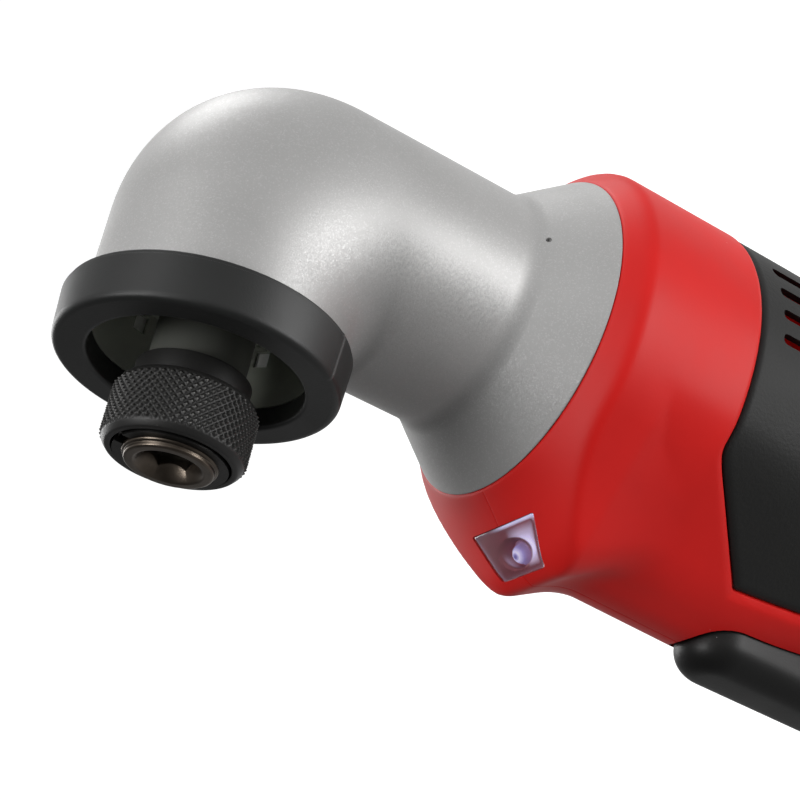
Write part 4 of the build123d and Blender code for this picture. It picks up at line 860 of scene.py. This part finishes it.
# %% Radius of the handle
SHELL = np.array(  # height, half width, and half depth behind and in front
    [(20.4, 28.6, 29.2, 28.8), (36, 27, 27.6, 27.2), (60, 25.4, 26.4, 26), (84, 24.8, 26, 26),
     (108, 24.8, 26, 26.8), (128, 25.4, 26.4, 28.2), (148, 26.8, 27.2, 30.2), (168, 28, 28, 31.3),
     (188, 28.4, 28.2, 31.2), (200, 28.4, 28.2, 30.6), (212.5, 28.4, 28.2, 28.4)])
SIDE_TURN, SIDE_FAR = np.radians(-36.3), 28.8
FLOOR_FAR, CHIN_END = 36.0, 57.6
KEEL_FAR = 33.4
FLANK_TURN, FLANK_FAR = np.radians(-62.7), 30.65
LOW_TURN, LOW_FAR = np.radians(-46.0), 27.8
RIDGE_FROM, RIDGE_GROWTH, RIDGE_FADE, RIDGE_FADE_LONG = 62, 0.028, 86, 26
BEZEL_R, BEZEL_DEPTH, BEZEL_SLOPE = 25.2, 46.4, 1.07
LIP_DEEP, LIP_LONG, LIP_END = 0.12, 0.22, 46.72
FOOT_DEEP, FOOT_END = 0.6, 21.4


def shell_sizes(height):
    """Natural cubic through the rows: its second derivatives solve a tridiagonal system, and are zero at the
    ends."""
    knots, values = SHELL[:, 0], SHELL[:, 1:]
    gaps = np.diff(knots)
    inner = np.arange(1, len(knots) - 1)
    matrix = np.eye(len(knots))
    matrix[inner, inner - 1] = gaps[:-1]
    matrix[inner, inner] = 2 * (gaps[:-1] + gaps[1:])
    matrix[inner, inner + 1] = gaps[1:]
    right = np.zeros_like(values)
    right[1:-1] = 6 * np.diff(np.diff(values, axis=0) / gaps[:, None], axis=0)
    bend = np.linalg.solve(matrix, right)
    height = np.clip(height, knots[0], knots[-1])
    low = np.clip(np.searchsorted(knots, height) - 1, 0, len(knots) - 2)
    gap = gaps[low][..., None]
    a = (knots[low + 1] - height)[..., None] / gap
    b = 1 - a
    curve = ((a**3 - a) * bend[low] + (b**3 - b) * bend[low + 1]) * gap**2 / 6
    return np.moveaxis(a * values[low] + b * values[low + 1] + curve, -1, 0)


def body_reach(turn, height):
    """Polar radius of two half ellipses: 1 / sqrt((cos/wide)^2 + (sin/tall)^2)."""
    wide, top, low = shell_sizes(height)
    tall = np.where(turn >= 0, top, low)
    return 1 / np.sqrt((np.cos(turn) / wide) ** 2 + (np.sin(turn) / tall) ** 2)


def flat(turn, middle, far):
    """Polar radius of a plane: far / cos(turn - middle)."""
    return far / np.cos(np.clip(turn - middle, np.radians(-75), np.radians(75)))


def chin_reach(turn, height):
    """The lamp chin's flat sides and floor. Behind its edge both fall back into the body."""
    held = np.minimum(turn, SIDE_TURN)
    behind = np.maximum(0, HEAD_Z - height - CHIN_END)
    side = flat(held, SIDE_TURN, SIDE_FAR - 0.3 * behind)
    floor = (FLOOR_FAR - 0.55 * behind) / -np.sin(held)
    fade = 1 - ease((turn - SIDE_TURN) / np.radians(34))
    return body_reach(turn, height) + (soft_least(side, floor, 4.0) - body_reach(held, height)) * fade


def ridge_reach(turn, height):
    """A blunt ridge under the handle: a narrow keel, its flanks and two flat sides. It fades at the trigger."""
    depth = HEAD_Z - height
    body = body_reach(turn, height)
    grown = RIDGE_GROWTH * (depth - RIDGE_FROM)
    keel = (KEEL_FAR + grown) / -np.sin(np.minimum(turn, -0.5))
    flank = flat(turn, FLANK_TURN, FLANK_FAR + 0.9 * grown)
    low = flat(turn, LOW_TURN, LOW_FAR + 0.8 * grown)
    pushed = body + 8 * ease((np.radians(-56) - turn) / np.radians(14))
    ridge = soft_least(soft_least(pushed, low, 1.6), soft_least(flank, keel, 1.0), 1.2)
    return body + (ridge - body) * (1 - ease((depth - RIDGE_FADE) / RIDGE_FADE_LONG))


def handle_reach(turn, height):
    """The larger of chin and ridge, cut to the bezel's cone, with both ends eased."""
    depth = HEAD_Z - height
    blunt = 0.02 + 2.0 * ease((SIDE_TURN - turn) / np.radians(18))
    section = -soft_least(-ridge_reach(turn, height), -chin_reach(turn, height), blunt)
    cone = BEZEL_R + BEZEL_SLOPE * (depth - BEZEL_DEPTH)
    rounding = 1.1 + 2.4 * ease((np.radians(-62) - turn) / np.radians(25))
    front_lip = LIP_DEEP * np.clip((LIP_END - depth) / LIP_LONG, 0, 1) ** 2
    low_lip = FOOT_DEEP * np.clip(FOOT_END - height, 0, 1) ** 2
    return soft_least(section, cone, rounding) - front_lip - low_lip


print("radius beside the bezel:", round(float(handle_reach(np.array(0.0), np.array(205.0))), 2), "mm")

# %% [markdown]
# ### Where the rubber lies
# Black rubber is moulded over the rear of the handle and into a recess of the red shell. Its outline is drawn
# in the side view. A grid doesn't follow such an outline by itself, and a boolean would leave a ragged lip.
# So the grid points next to the outline are moved onto it, along the slope of the distance to it. Faces then
# lie wholly inside or outside.

# %% Outline, distance and moved grid
RUBBER_LINE = soft_corners(
    [(50, 192.6, 0), (-15.9, 192.6, 1.2), (-17.7, 190.9, 1.0), (-28.7, 177.7, 0.2), (-28.5, 172, 3),
     (-27.2, 148, 3), (-24.6, 128, 3), (-22.6, 104, 4), (-24, 98, 3), (-50, 95, 0), (-50, 44, 0), (50, 40, 0)])
GRIP_GAP = 0.22  # the rubber's distance from the wall of its recess
NEWTON_STEPS = 4


def side_distance(y, z):
    """Distance to the nearest edge of the outline. It is positive inside, where a level line crosses an odd
    count of edges."""
    start, end = RUBBER_LINE, np.roll(RUBBER_LINE, -1, 0)
    edge = end - start
    spot = pack(y.ravel(), z.ravel())[:, None]
    share = np.clip(((spot - start) * edge).sum(-1) / (edge**2).sum(-1), 0, 1)
    gap = np.linalg.norm(spot - start - share[..., None] * edge, axis=-1).min(1)
    crossed = (start[:, 1] > spot[..., 1]) != (end[:, 1] > spot[..., 1])
    rise = np.where(edge[:, 1] == 0, 1, edge[:, 1])
    meets = start[:, 0] + (spot[..., 1] - start[:, 1]) * edge[:, 0] / rise
    inside = (crossed & (spot[..., 0] < meets)).sum(1) % 2 == 1
    return np.where(inside, gap, -gap).reshape(y.shape)


def moved_grid(turn, height, level):
    """Every grid edge that crosses the outline gets its nearer end moved onto it by Newton steps in turn and
    height."""
    def reading(turn, height):
        return side_distance(handle_reach(turn, height) * np.sin(turn), height) - level

    value = reading(turn, height)
    near = np.zeros(value.shape, bool)
    for one, other in ((np.s_[:-1, :], np.s_[1:, :]), (np.s_[:, :-1], np.s_[:, 1:])):
        crossing = value[one] * value[other] < 0
        first = np.abs(value[one]) <= np.abs(value[other])
        near[one] |= crossing & first
        near[other] |= crossing & ~first
    arm, small = 28.0, 1e-3
    for _ in range(NEWTON_STEPS):
        now = reading(turn, height)
        by_turn = (reading(turn + small / arm, height) - now) / small
        by_height = (reading(turn, height + small) - now) / small
        by_turn[:, [0, -1]] = 0
        size = by_turn**2 + by_height**2 + 1e-9
        turn = np.where(near, turn - now * by_turn / size / arm, turn)
        height = np.where(near, height - now * by_height / size, height)
    return turn, height, np.where(near, 0, reading(turn, height))


def split_quads(quads, sign):
    """Two triangles for each quad, on the diagonal that doesn't cross the outline."""
    a, b, c, d = quads.T
    crossing = (sign[a] * sign[c] < 0)[:, None]
    first = np.where(crossing, pack(a, b, d), pack(a, b, c))
    second = np.where(crossing, pack(b, c, d), pack(a, c, d))
    return np.concatenate([first, second])


def rim_walls(triangles, total):
    """Quads from each edge that only one triangle has, down to the second copy of the points."""
    edges = np.concatenate([triangles[:, [0, 1]], triangles[:, [1, 2]], triangles[:, [2, 0]]])
    _, index, count = np.unique(np.sort(edges, 1), axis=0, return_index=True, return_counts=True)
    edges = edges[index[count == 1]]
    return np.column_stack([edges, edges[:, ::-1] + total])


def used_only(points, *faces):
    """The points that arrays of faces use, and those faces with their new numbers."""
    used = np.unique(np.concatenate([array.ravel() for array in faces]))
    renumber = np.zeros(len(points), int)
    renumber[used] = np.arange(len(used))
    return points[used], [face for array in faces for face in renumber[array].tolist()]


SEAM = np.array([0, 0.14, 0.32, 0.56])
TURNS = np.radians(np.concatenate(
    [-90 + SEAM, np.linspace(-89, -30, 58), np.linspace(-28, 89, 54), 90 - SEAM[::-1]]))
DEPTHS = np.concatenate(
    [[46.5, 46.58, 46.7], np.arange(47, 68, 0.6), np.arange(68, 72, 0.3), np.arange(72, 86.5, 0.45),
     np.arange(86.5, 156, 1.6), np.arange(156, 170, 0.5), np.arange(170, 216, 2.2), np.arange(216, 224.5, 0.45),
     np.arange(224.5, 240.5, 1.5), [240.6, 240.9, 241.2, 241.4, 241.6]])
FLAT_TURN, FLAT_HEIGHT = np.meshgrid(TURNS, HEAD_Z - DEPTHS)
RED_GRID = moved_grid(FLAT_TURN, FLAT_HEIGHT, 0.0)
GRIP_GRID = moved_grid(FLAT_TURN, FLAT_HEIGHT, GRIP_GAP)
print("handle grid:", FLAT_TURN.shape, "moved:", int((RED_GRID[2] == 0).sum()), int((GRIP_GRID[2] == 0).sum()))

# %% [markdown]
# ### The red halves and the rubber
# Each half is a C in section: the outside, the split face, the inside and the split face again, so every row
# closes on itself. Where the rubber lies the outside steps down by the rubber's thickness, and a wall of faces
# joins the two levels. The rubber is the same surface within the outline, as a pad with its own lower face.
# The edges at the split are eased by a few hundredths of a millimetre, which draws the fine line that such a
# handle shows.

# %% Red halves and grips
SCREWS = np.array([(21.6, 186.0), (21.6, 150.0), (-22.2, 181.4), (16.8, 99.0), (-19.6, 99.2), (20.4, 130.0)])
RECESS, GRIP_SINK, GRIP_LIFT = 1.5, 0.22, 0.05
RED_LIP, RED_LIP_WIDE, GRIP_LIP, GRIP_LIP_WIDE = 0.5, 0.8, 0.5, 0.9
SPLIT_GAP, SPLIT_DEEP, SPLIT_WIDE = 0.02, 0.06, 0.22
BOSS_END, BOSS_R, BOSS_FADE, WALL = 10.5, 5, 2, 4.2
INSIDE = 46  # columns on the inside
BAY_TOP, SPIGOT_LOW, SPIGOT_R = 95.4, 190, 23.83
CELL_OUT, CELL_R, BAY_FLAT = 10.739, 11.2, 16.57


def split_eased(out, turn):
    """Lower the radius near the split plane, by the square of the share of the width that is left."""
    return out - SPLIT_DEEP * np.clip(1 - out * np.cos(turn) / SPLIT_WIDE, 0, 1) ** 2


def half_points(out, turn, height, side):
    """x = side (radius cos(turn) + gap), y = radius sin(turn)."""
    across = side * (np.maximum(out * np.cos(turn), 0) + SPLIT_GAP)
    return pack(across, out * np.sin(turn), height)


def room_reach(turn, height):
    """Radius of the inside: the case's spigot in front, the motor room, and below it the bay for the cells,
    which is a triangle with its sides moved out and arcs round its corners."""
    spread = (turn + np.radians(150)) % np.radians(120) - np.radians(60)
    corner = np.radians(60) - np.abs(spread)
    arc = CELL_OUT * np.cos(corner) + np.sqrt(CELL_R**2 - (CELL_OUT * np.sin(corner)) ** 2)
    bay = np.where(np.abs(spread) < np.radians(29.3), BAY_FLAT / np.cos(spread), arc)
    room = np.where(height > SPIGOT_LOW, SPIGOT_R, body_reach(turn, height) - WALL)
    return np.where(height < BAY_TOP, bay, room)


def red_half(side):
    """Rows of outside and inside points. The rubber's part of the outside is used from a second, lowered
    copy."""
    turn, height, away = RED_GRID
    rows, outer = turn.shape
    back_turn = np.radians(np.linspace(90, -90, INSIDE)) * np.ones((rows, 1))
    back_height = FLAT_HEIGHT[:, :1] * np.ones((1, INSIDE))
    room = room_reach(back_turn, back_height)
    if side < 0:
        spot = pack(room * np.sin(back_turn), back_height)
        gap = np.linalg.norm(spot[:, :, None] - SCREWS, axis=-1).min(-1)
        boss = np.minimum(room, BOSS_END / np.maximum(np.cos(back_turn), 0.2))
        room = room + (boss - room) * (1 - ease((gap - BOSS_R) / BOSS_FADE)) * (back_height > BAY_TOP)
    reach = handle_reach(turn, height)
    lip = RED_LIP * np.clip((away + RED_LIP_WIDE) / RED_LIP_WIDE, 0, 1) ** 2
    inside = half_points(room, back_turn, back_height, side)
    levels = [half_points(split_eased(out, turn), turn, height, side) for out in (reach - lip, reach - RECESS)]
    points = np.concatenate([np.hstack([level, inside]).reshape(-1, 3) for level in levels])
    sign = np.hstack([np.sign(away), np.zeros_like(room)]).ravel()
    total = len(sign)
    triangles = split_quads(skin(rows, outer + INSIDE), sign)
    lowered = sign[triangles].sum(1) > 0
    walls = rim_walls(triangles[lowered], total)
    triangles[lowered] += total
    ring = np.arange(outer + INSIDE)
    caps = np.stack([ring, ring + total - len(ring)])
    word = SIDES[side]
    return piece("red_half_" + word, *used_only(points, triangles, walls, caps), RED, "housing", "red_plastic",
                 ("housing_" + word,), crisp=34)


def grip_half(side):
    """The part of the outside within the outline as a pad: upper face, lower face, and walls along the rim."""
    turn, height, away = GRIP_GRID
    reach = handle_reach(turn, height)
    sign = np.sign(away).ravel()
    triangles = split_quads(skin(*turn.shape, around=False), sign)
    triangles = triangles[sign[triangles].sum(1) > 0]
    edge = GRIP_LIP * np.clip(1 - away / GRIP_LIP_WIDE, 0, 1) ** 2
    high = half_points(split_eased(reach - GRIP_SINK - edge, turn), turn, height, side)
    low = half_points(reach - RECESS + GRIP_LIFT, turn, height, side)
    points = np.concatenate([high.reshape(-1, 3), low.reshape(-1, 3)])
    both = np.concatenate([triangles, triangles + len(sign)])
    walls = rim_walls(triangles, len(sign))
    word = SIDES[side]
    return piece("grip_pad_" + word, *used_only(points, both, walls), RUBBER, "housing", "black_rubber",
                 ("grip_" + word,), crisp=40)


reds = {side: red_half(side) for side in SIDES}
grips = {side: grip_half(side) for side in SIDES}

# %% [markdown]
# ### Openings in the handle
# The trigger, the direction slide, the lamp, the charge gauge and the latches need openings, and the motor
# needs air. They have straight walls in the moulding tool, so they are cut as columns with soft corners.
# Those for air, slide, gauge and screws go through shell and rubber alike.

# %% Cut the openings
LAMP_AT = np.array([0, -32.2, 209.0])
LAMP_OUT, LAMP_UP = np.array([0, -0.67, 0.742]), np.array([0, 0.742, 0.67])
VENT_ROWS, VENT_MIDDLES = 3.0 + 4.4 * np.arange(4), (184.0, 153.0)
SLIDE_AT = np.array([-11.0, 134.0])
OUTSIDE = 40.0  # beyond the handle on either side


def at_lamp(u, v, height):
    """Across the lamp, up its sloping face, and out of it."""
    u, v, height = np.broadcast_arrays(u, v, height)
    return LAMP_AT + u[..., None] * (1, 0, 0) + v[..., None] * LAMP_UP + height[..., None] * LAMP_OUT


def lamp_outline(grow, corner):
    """A trapezoid, wider at the top, with soft corners."""
    low, top, half = 5.1 + grow, 7.6 + grow, 3.85 + grow
    corners = [(-low, -half), (low, -half), (top, half), (-top, half)]
    return soft_corners([(u, v, corner) for u, v in corners])


def trigger_slot():
    """Outline in x and z: straight sides and a half round front end."""
    bend = np.radians(np.linspace(-90, 90, 25))
    front = pack(7.0 * np.sin(bend), 171.0 + 7.0 * np.cos(bend))
    return np.vstack([front, [(7.0, 104.3), (-7.0, 104.3)]])


def from_side(outline, side, start):
    """A column from a distance off the middle plane to beyond the handle."""
    return prism(outline, *sorted((side * start, side * OUTSIDE)), along_x)


for side in SIDES:
    through = [from_side(oblong(y, z, 0.9, 4.5, 0.9), side, 16.0) for y in VENT_ROWS for z in VENT_MIDDLES]
    through.append(from_side(oblong(*SLIDE_AT, 4.8, 3.8, 1.9), side, 12.0))
    through.append(prism(oblong(0, 118, 7.0, 3.0, 0.9), 15, 40, along_y))
    if side < 0:
        through += [from_side(disc(3.2, 36) + spot, side, 13) for spot in SCREWS]
    only_red = [
        prism(trigger_slot(), -50, -21, along_y),
        prism(lamp_outline(0.04, 0.54), -7.4, 6, at_lamp),
        from_side(oblong(0, 24.4, 8.4, 5.0, 0.8), side, 21.0),
    ]
    carve(reds[side], through + only_red, crisp=34)
    carve(grips[side], through, crisp=40)

# %% [markdown]
# ## The lamp
# Under the nose a small lamp lights the screw. Behind a clear trapezoid lens sit a mauve tray and the emitter's
# dome. Lens and tray are rings between the trapezoid and circles, taken at the same angles so that the rings
# don't twist. The lens lies flush in the bezel, so the points of its face are slid along the lamp's direction
# onto the handle's surface. Its back and the upper tray run below that face at even depths.

# %% Lens, tray and emitter
EMITTER, REFLECTOR = np.array([-0.6, -1.0]), np.array([0.1, -0.5])
DOME_R, DOME_FOOT, SOCKET_R = 1.5, -2.8, 2.9
LENS_STEPS, LENS_GAP = 40, 0.05


def evenly(corners, count):
    """Points at equal steps of length along a closed outline."""
    corners = np.vstack([corners, corners[:1]])
    walked = np.concatenate([[0], np.cumsum(np.hypot(*np.diff(corners, axis=0).T))])
    stations = np.linspace(0, walked[-1], count, endpoint=False)
    return np.stack([np.interp(stations, walked, corners[:, k]) for k in (0, 1)], -1)


def lamp_ring(shape, height):
    """One ring of points in the lamp's own directions."""
    return at_lamp(shape[:, 0], shape[:, 1], np.asarray(height))


def lens_face(shape, sink):
    """Slide points out of the lamp until they meet the handle's surface, then go below it by the sink.
    Each step shortens the way by half of the gap in radius."""
    out = np.zeros(len(shape))
    for _ in range(LENS_STEPS):
        x, y, z = lamp_ring(shape, out).T
        out = out - 0.5 * (np.hypot(x, y) - handle_reach(np.arctan2(y, np.abs(x)), z))
    return lamp_ring(shape, out - LENS_GAP - sink)


outline = evenly(lamp_outline(0, 0.5), 128)
angle = np.arctan2(outline[:, 1], outline[:, 0])
circle = pack(np.cos(angle), np.sin(angle))
lens_sizes = [  # share of the outline and sink: the back from its middle, the rim, then the face to its middle
    (0, 0.75), (0.25, 0.75), (0.5, 0.75), (0.75, 0.75), (0.995, 0.75), (1, 0.3), (0.985, 0.12), (0.96, 0.03),
    (0.92, 0), (0.8, 0), (0.6, 0), (0.4, 0), (0.2, 0), (0.0, 0)]
lens_rows = np.stack([lens_face(outline * share, sink) for share, sink in lens_sizes])
sheet("lamp_lens_clear", lens_rows, LENS, "housing", "clear_plastic", ("lamp_lens",), crisp=40)

along_lens = [(outline * share, sink) for share, sink in ((0.985, 0.85), (0.9, 0.87), (0.81, 0.9))]
along_lens += [(circle * size + REFLECTOR, sink) for size, sink in
               (([4.5, 2.42], 0.92), ([3.9, 2.35], 0.97), ([3.35, 2.2], 1.15))]
along_lens.append((circle * [3.0, 2.1] + (0, -0.7), 1.55))
down_well = [(circle * 2.0 + EMITTER, -2.7), (circle * 1.95 + EMITTER, -4.8), (outline * 0.985, -4.8)]
tray_rows = np.stack([lens_face(*ring) for ring in along_lens] + [lamp_ring(*ring) for ring in down_well])
# Painted glints: a band under the lens's top edge, a crescent right of the reflector and a faint streak at its
# left are pale and glow, as painted highlights and reflections.
facing = np.clip(1.25 * np.cos(angle - np.radians(12)) - 0.25, 0, 1) ** 0.7
upper = ease((outline[:, 1] - 2.9) / 0.8) * ease((outline[:, 0] + 4) / 5)
painted_glint = np.zeros(tray_rows.shape[:2])
painted_glint[0], painted_glint[1] = 0.15 + 0.75 * upper, 0.05 + 0.85 * upper
painted_glint[3], painted_glint[4] = 0.9 * facing, facing
painted_glint[6] = 0.25 * np.clip(np.cos(angle - np.radians(205)), 0, 1) ** 8
sheet("lamp_tray_moulding", tray_rows, TRAY, "housing", "lamp", loop=True, crisp=40, marks={"painted_glint": painted_glint})

rise = np.radians(np.linspace(0, 90, 10))
dome = pack(DOME_R * np.cos(rise), DOME_FOOT + DOME_R * np.sin(rise))
foot = [(0, -5.55), (SOCKET_R, -5.55), (SOCKET_R, -4.9), (1.85, -4.9), (1.85, -3.0), (1.7, -2.85)]
dome_line = np.concatenate([foot, dome])
dome_rows = np.stack([lamp_ring(circle * out + EMITTER, height) for out, height in dome_line])
board = prism(oblong(0, 0, 4.9, 3.3, 0.4), -7.3, -5.6, at_lamp)
lamp_shape = joined([(dome_rows.reshape(-1, 3), skin(*dome_rows.shape[:2]).tolist()), board])
from_axis = np.concatenate([np.repeat(dome_line[:, 0] / SOCKET_R, len(circle)), np.ones(len(board[0]))])
piece("lamp_emitter", *lamp_shape, LAMP, "housing", "lamp", ("lamp_module",), marks={"from_axis": from_axis})

# %% [markdown]
# ## The trigger
# A long black lever under the handle. Seen from below it has straight sides and a half round nose. Its outline
# is carried down the side walls, and then moved inwards along a quarter circle until only the middle line is
# left. That gives the round edges which the fingers feel. The hole for its pin is cut afterwards.

# %% Trigger lever
LEVER_HALF, LEVER_LOW, LEVER_EDGE = 6.6, -37.4, 4.4
NOSE_MIDDLE, TAIL_Z, TAIL_CORNER = 170.4, 106.5, 2.4
LEVER_INNER, NOSE_STEP, TRIGGER_PIN = -25.6, 3.0, (-25.8, 166.5)


def lever_ring(inset):
    """Outline in x and z, moved inwards: half circle, straight side, two quarter circles at the tail, and the
    other straight side."""
    half, low, corner = LEVER_HALF - inset, TAIL_Z + inset, max(TAIL_CORNER - inset, 0)
    bend = np.radians(np.linspace(-90, 90, 33))
    nose = pack(half * np.sin(bend), NOSE_MIDDLE + half * np.cos(bend))
    run = np.linspace(NOSE_MIDDLE, low + corner, 26)[1:-1]
    bend = np.radians(np.linspace(0, 90, 7))
    tail = pack(half - corner + corner * np.cos(bend), low + corner - corner * np.sin(bend))
    right = np.vstack([pack(half + 0 * run, run), tail])
    return np.vstack([nose, right, right[::-1] * (-1, 1)])


def lever_row(inset, share, lift):
    """A ring between the lever's inner side (share 0) and its lower side (share 1), lifted off the latter."""
    across, z = lever_ring(inset).T
    inner = LEVER_INNER + NOSE_STEP * ease((z - 159.5) / 2.5)
    low = LEVER_LOW + 2.9 * np.clip((124 - z) / 17.5, 0, 1) ** 1.5 + lift
    return pack(across, inner + (low - inner) * share, z)


walls = [lever_row(0, share, LEVER_EDGE) for share in (0, 0.33, 0.67, 1)]
edges = [lever_row(LEVER_EDGE * (1 - np.cos(bend)), 1, LEVER_EDGE * (1 - np.sin(bend)))
         for bend in np.radians(np.linspace(0, 90, 13))[1:]]
belly = [lever_row(5.4, 1, -0.02), lever_row(LEVER_HALF, 1, -0.03)]
lever_rows = np.stack([lever_row(LEVER_HALF, 0, 0)] + walls + edges + belly)
trigger = sheet("trigger_lever", lever_rows, BLACK, "trigger", "black_plastic", ("trigger",), crisp=40)
carve(trigger, [prism(disc(1.6, 32) + TRIGGER_PIN, -9, 9, along_x)], crisp=40)

# %% [markdown]
# ## Direction slide and latches
# The slide goes right through the handle and is pushed from either side. It is a rounded bar whose ends are
# eased and slightly dished. The two battery latches are pressed at the foot of the handle. Their faces carry
# ridges across the thumb's path.

# %% Slide and latches
LATCH_Z, LATCH_BACK, LATCH_FACE = 14.25, 24.4, 30.3
RIDGE_DEEP, RIDGE_PITCH = 0.3, 2.1

slide_outline = oblong(*SLIDE_AT, 4.5, 3.5, 1.6)
half_stations = np.array([0, 25.0, 28.2, 28.75, 29.05, 29.2, 29.2, 29.0, 28.9])
half_scale = np.array([1, 1, 1, 0.985, 0.95, 0.9, 0.8, 0.55, 0.0])
slide_station = np.concatenate([-half_stations[::-1], half_stations[1:]])
slide_scale = np.concatenate([half_scale[::-1], half_scale[1:]])
slide_section = SLIDE_AT + (slide_outline - SLIDE_AT) * slide_scale[:, None, None]
slide_rows = along_x(*np.moveaxis(slide_section, -1, 0), slide_station[:, None] * np.ones(len(slide_outline)))
sheet("direction_slide", slide_rows, BLACK, "shuttle", "black_plastic", ("direction_shuttle",), crisp=45)


def latch_button(side):
    """Rings of a soft rectangle from the back to the face; on the face the depth follows a cosine of the
    height."""
    middle = np.array([0, LATCH_Z])
    around = evenly(oblong(*middle, 8.0, 5.25, 1.3), 144)
    scale = np.concatenate([[0, 1, 1, 0.99, 0.965, 0.93], np.linspace(0.9, 0, 16)])
    depth = np.concatenate([[LATCH_BACK, LATCH_BACK, 29.5, 29.9, 30.15, 30.25], np.full(16, LATCH_FACE)])
    y, z = np.moveaxis(middle + (around - middle) * scale[:, None, None], -1, 0)
    ridges = RIDGE_DEEP * (0.5 - 0.5 * np.cos(2 * np.pi * (z - LATCH_Z) / RIDGE_PITCH))
    face = ease((0.93 - scale) / 0.1) * (np.arange(len(scale)) > 5)
    rows = along_x(y, z, side * (depth[:, None] - ridges * face[:, None]))
    near, far = sorted((side * LATCH_BACK, side * 26.4))
    arm = prism(oblong(0, 23.25, 6.0, 4.25, 0.6), near, far, along_x)
    shape = joined([(rows.reshape(-1, 3), skin(*rows.shape[:2]).tolist()), arm])
    word = SIDES[side]
    piece("latch_button_" + word, *shape, RED, "latch_" + word, "red_plastic", ("battery_latch_" + word,),
          crisp=40)


for side in SIDES:
    latch_button(side)

# %% [markdown]
# ## Light, floor and camera
# The photograph was taken on white with large soft lights, from the front right and above. The camera's place
# was fitted to the circles of the collar, ring, neck and flange. The floor and the sky are plain white to the
# camera, while the lamps and a dimmer sky light the object, so colours come out about as they are written.
# The floor lies 86 mm below the foot, which leaves room for the battery to be drawn out.

# %% Camera
camera_data = bpy.data.cameras.new("camera")
camera_data.lens, camera_data.sensor_width = 100.0, 36.0
camera = add_object("camera", camera_data)
right, up, back = (0.53038, 0.2083, -0.82177), (0.28334, 0.87004, 0.40341), (0.79901, -0.4468, 0.40244)
pose = Matrix((right, up, back)).transposed().to_4x4()
pose.translation = Vector((248.8, -157.15, 356.83)) * MM
camera.matrix_world = pose
bpy.context.scene.camera = camera
bpy.context.scene.view_settings.view_transform = "Standard"
print("camera", [round(value, 3) for value in camera.location])

# %% Lamps
LIT_POINT = Vector((0, 0, 0.24))
SOFTBOXES = {  # place and size in metres, watts
    "right_box": ((0.3, 0.06, 0.04), 0.17, 0.8), "front_box": ((0.12, -0.28, 0.97), 0.3, 3.0),
    "head_box": ((0.28, 0.06, 0.98), 0.3, 1.2), "left_box": ((-0.76, 0.12, 0.44), 0.36, 1.8),
    "back_box": ((-0.28, 0.7, 0.48), 0.36, 2.1),
}
for name, (spot, size, watts) in SOFTBOXES.items():
    data = bpy.data.lights.new(name, "AREA")
    data.size, data.energy = size, watts
    lamp = add_object(name, data)
    lamp.location = spot
    lamp.rotation_euler = (LIT_POINT - Vector(spot)).to_track_quat("-Z", "Y").to_euler()
    print("lamp", name, watts, "W")


# %% Sky and floor
MIRRORED_SKY, DIFFUSE_SKY, FLOOR_GLOW = 0.7, 0.55, 0.86  # strengths, where the camera's own view is 1


def light_path(tree):
    """Whether a ray comes from the camera, and whether it was mirrored or went through something clear."""
    path = tree.nodes.new("ShaderNodeLightPath").outputs
    return path["Is Camera Ray"], sums(tree, "MAXIMUM", path["Is Glossy Ray"], path["Is Transmission Ray"])


world = bpy.data.worlds.new("studio")
world.use_nodes = True
bpy.context.scene.world = world
sky = world.node_tree
from_camera, mirrored = light_path(sky)
reflected = sums(sky, "MAXIMUM", sums(sky, "MULTIPLY", mirrored, MIRRORED_SKY), DIFFUSE_SKY)
toward = split(sky, sky.nodes.new("ShaderNodeTexCoord").outputs["Generated"])["Y"]
dim = sums(sky, "MULTIPLY", stretch(sky, toward, -0.5, 0.3, 0.15, 1.0), reflected)
strength = sums(sky, "MAXIMUM", from_camera, dim)
wire(sky, sky.nodes["Background"], {"Strength": strength, "Color": (1, 1, 1, 1)})

FLOOR_Z, FLOOR_HALF = -0.086, 6
corners = [(FLOOR_HALF * u, FLOOR_HALF * v, FLOOR_Z) for u, v in ((-1, -1), (1, -1), (1, 1), (-1, 1))]
floor_mesh = bpy.data.meshes.new("floor")
floor_mesh.from_pydata(corners, [], [(0, 1, 2, 3)])
floor = add_object("floor", floor_mesh)
floor_paint, tree, shader, coords = begin_finish("floor_paper")
paper = effect(tree, grain, coords, Size=2.0)["Mottle"]
from_camera, mirrored = light_path(tree)
dimmed = sums(tree, "MULTIPLY", mirrored, stretch(tree, split(tree, coords)["Y"], -0.07, 0.18, 0, 0.6))
wire(tree, shader, {
    "Base Color": blend_colours(tree, paper, (0.44, 0.44, 0.44), (0.46, 0.46, 0.46)),
    "Roughness": 0.9,
    "Specular IOR Level": 0.1,
    "Emission Color": (1, 1, 1, 1),
    "Emission Strength": sums(tree, "MAXIMUM", sums(tree, "MULTIPLY", from_camera, FLOOR_GLOW), dimmed),
})
floor_mesh.materials.append(floor_paint)
print("studio ready")
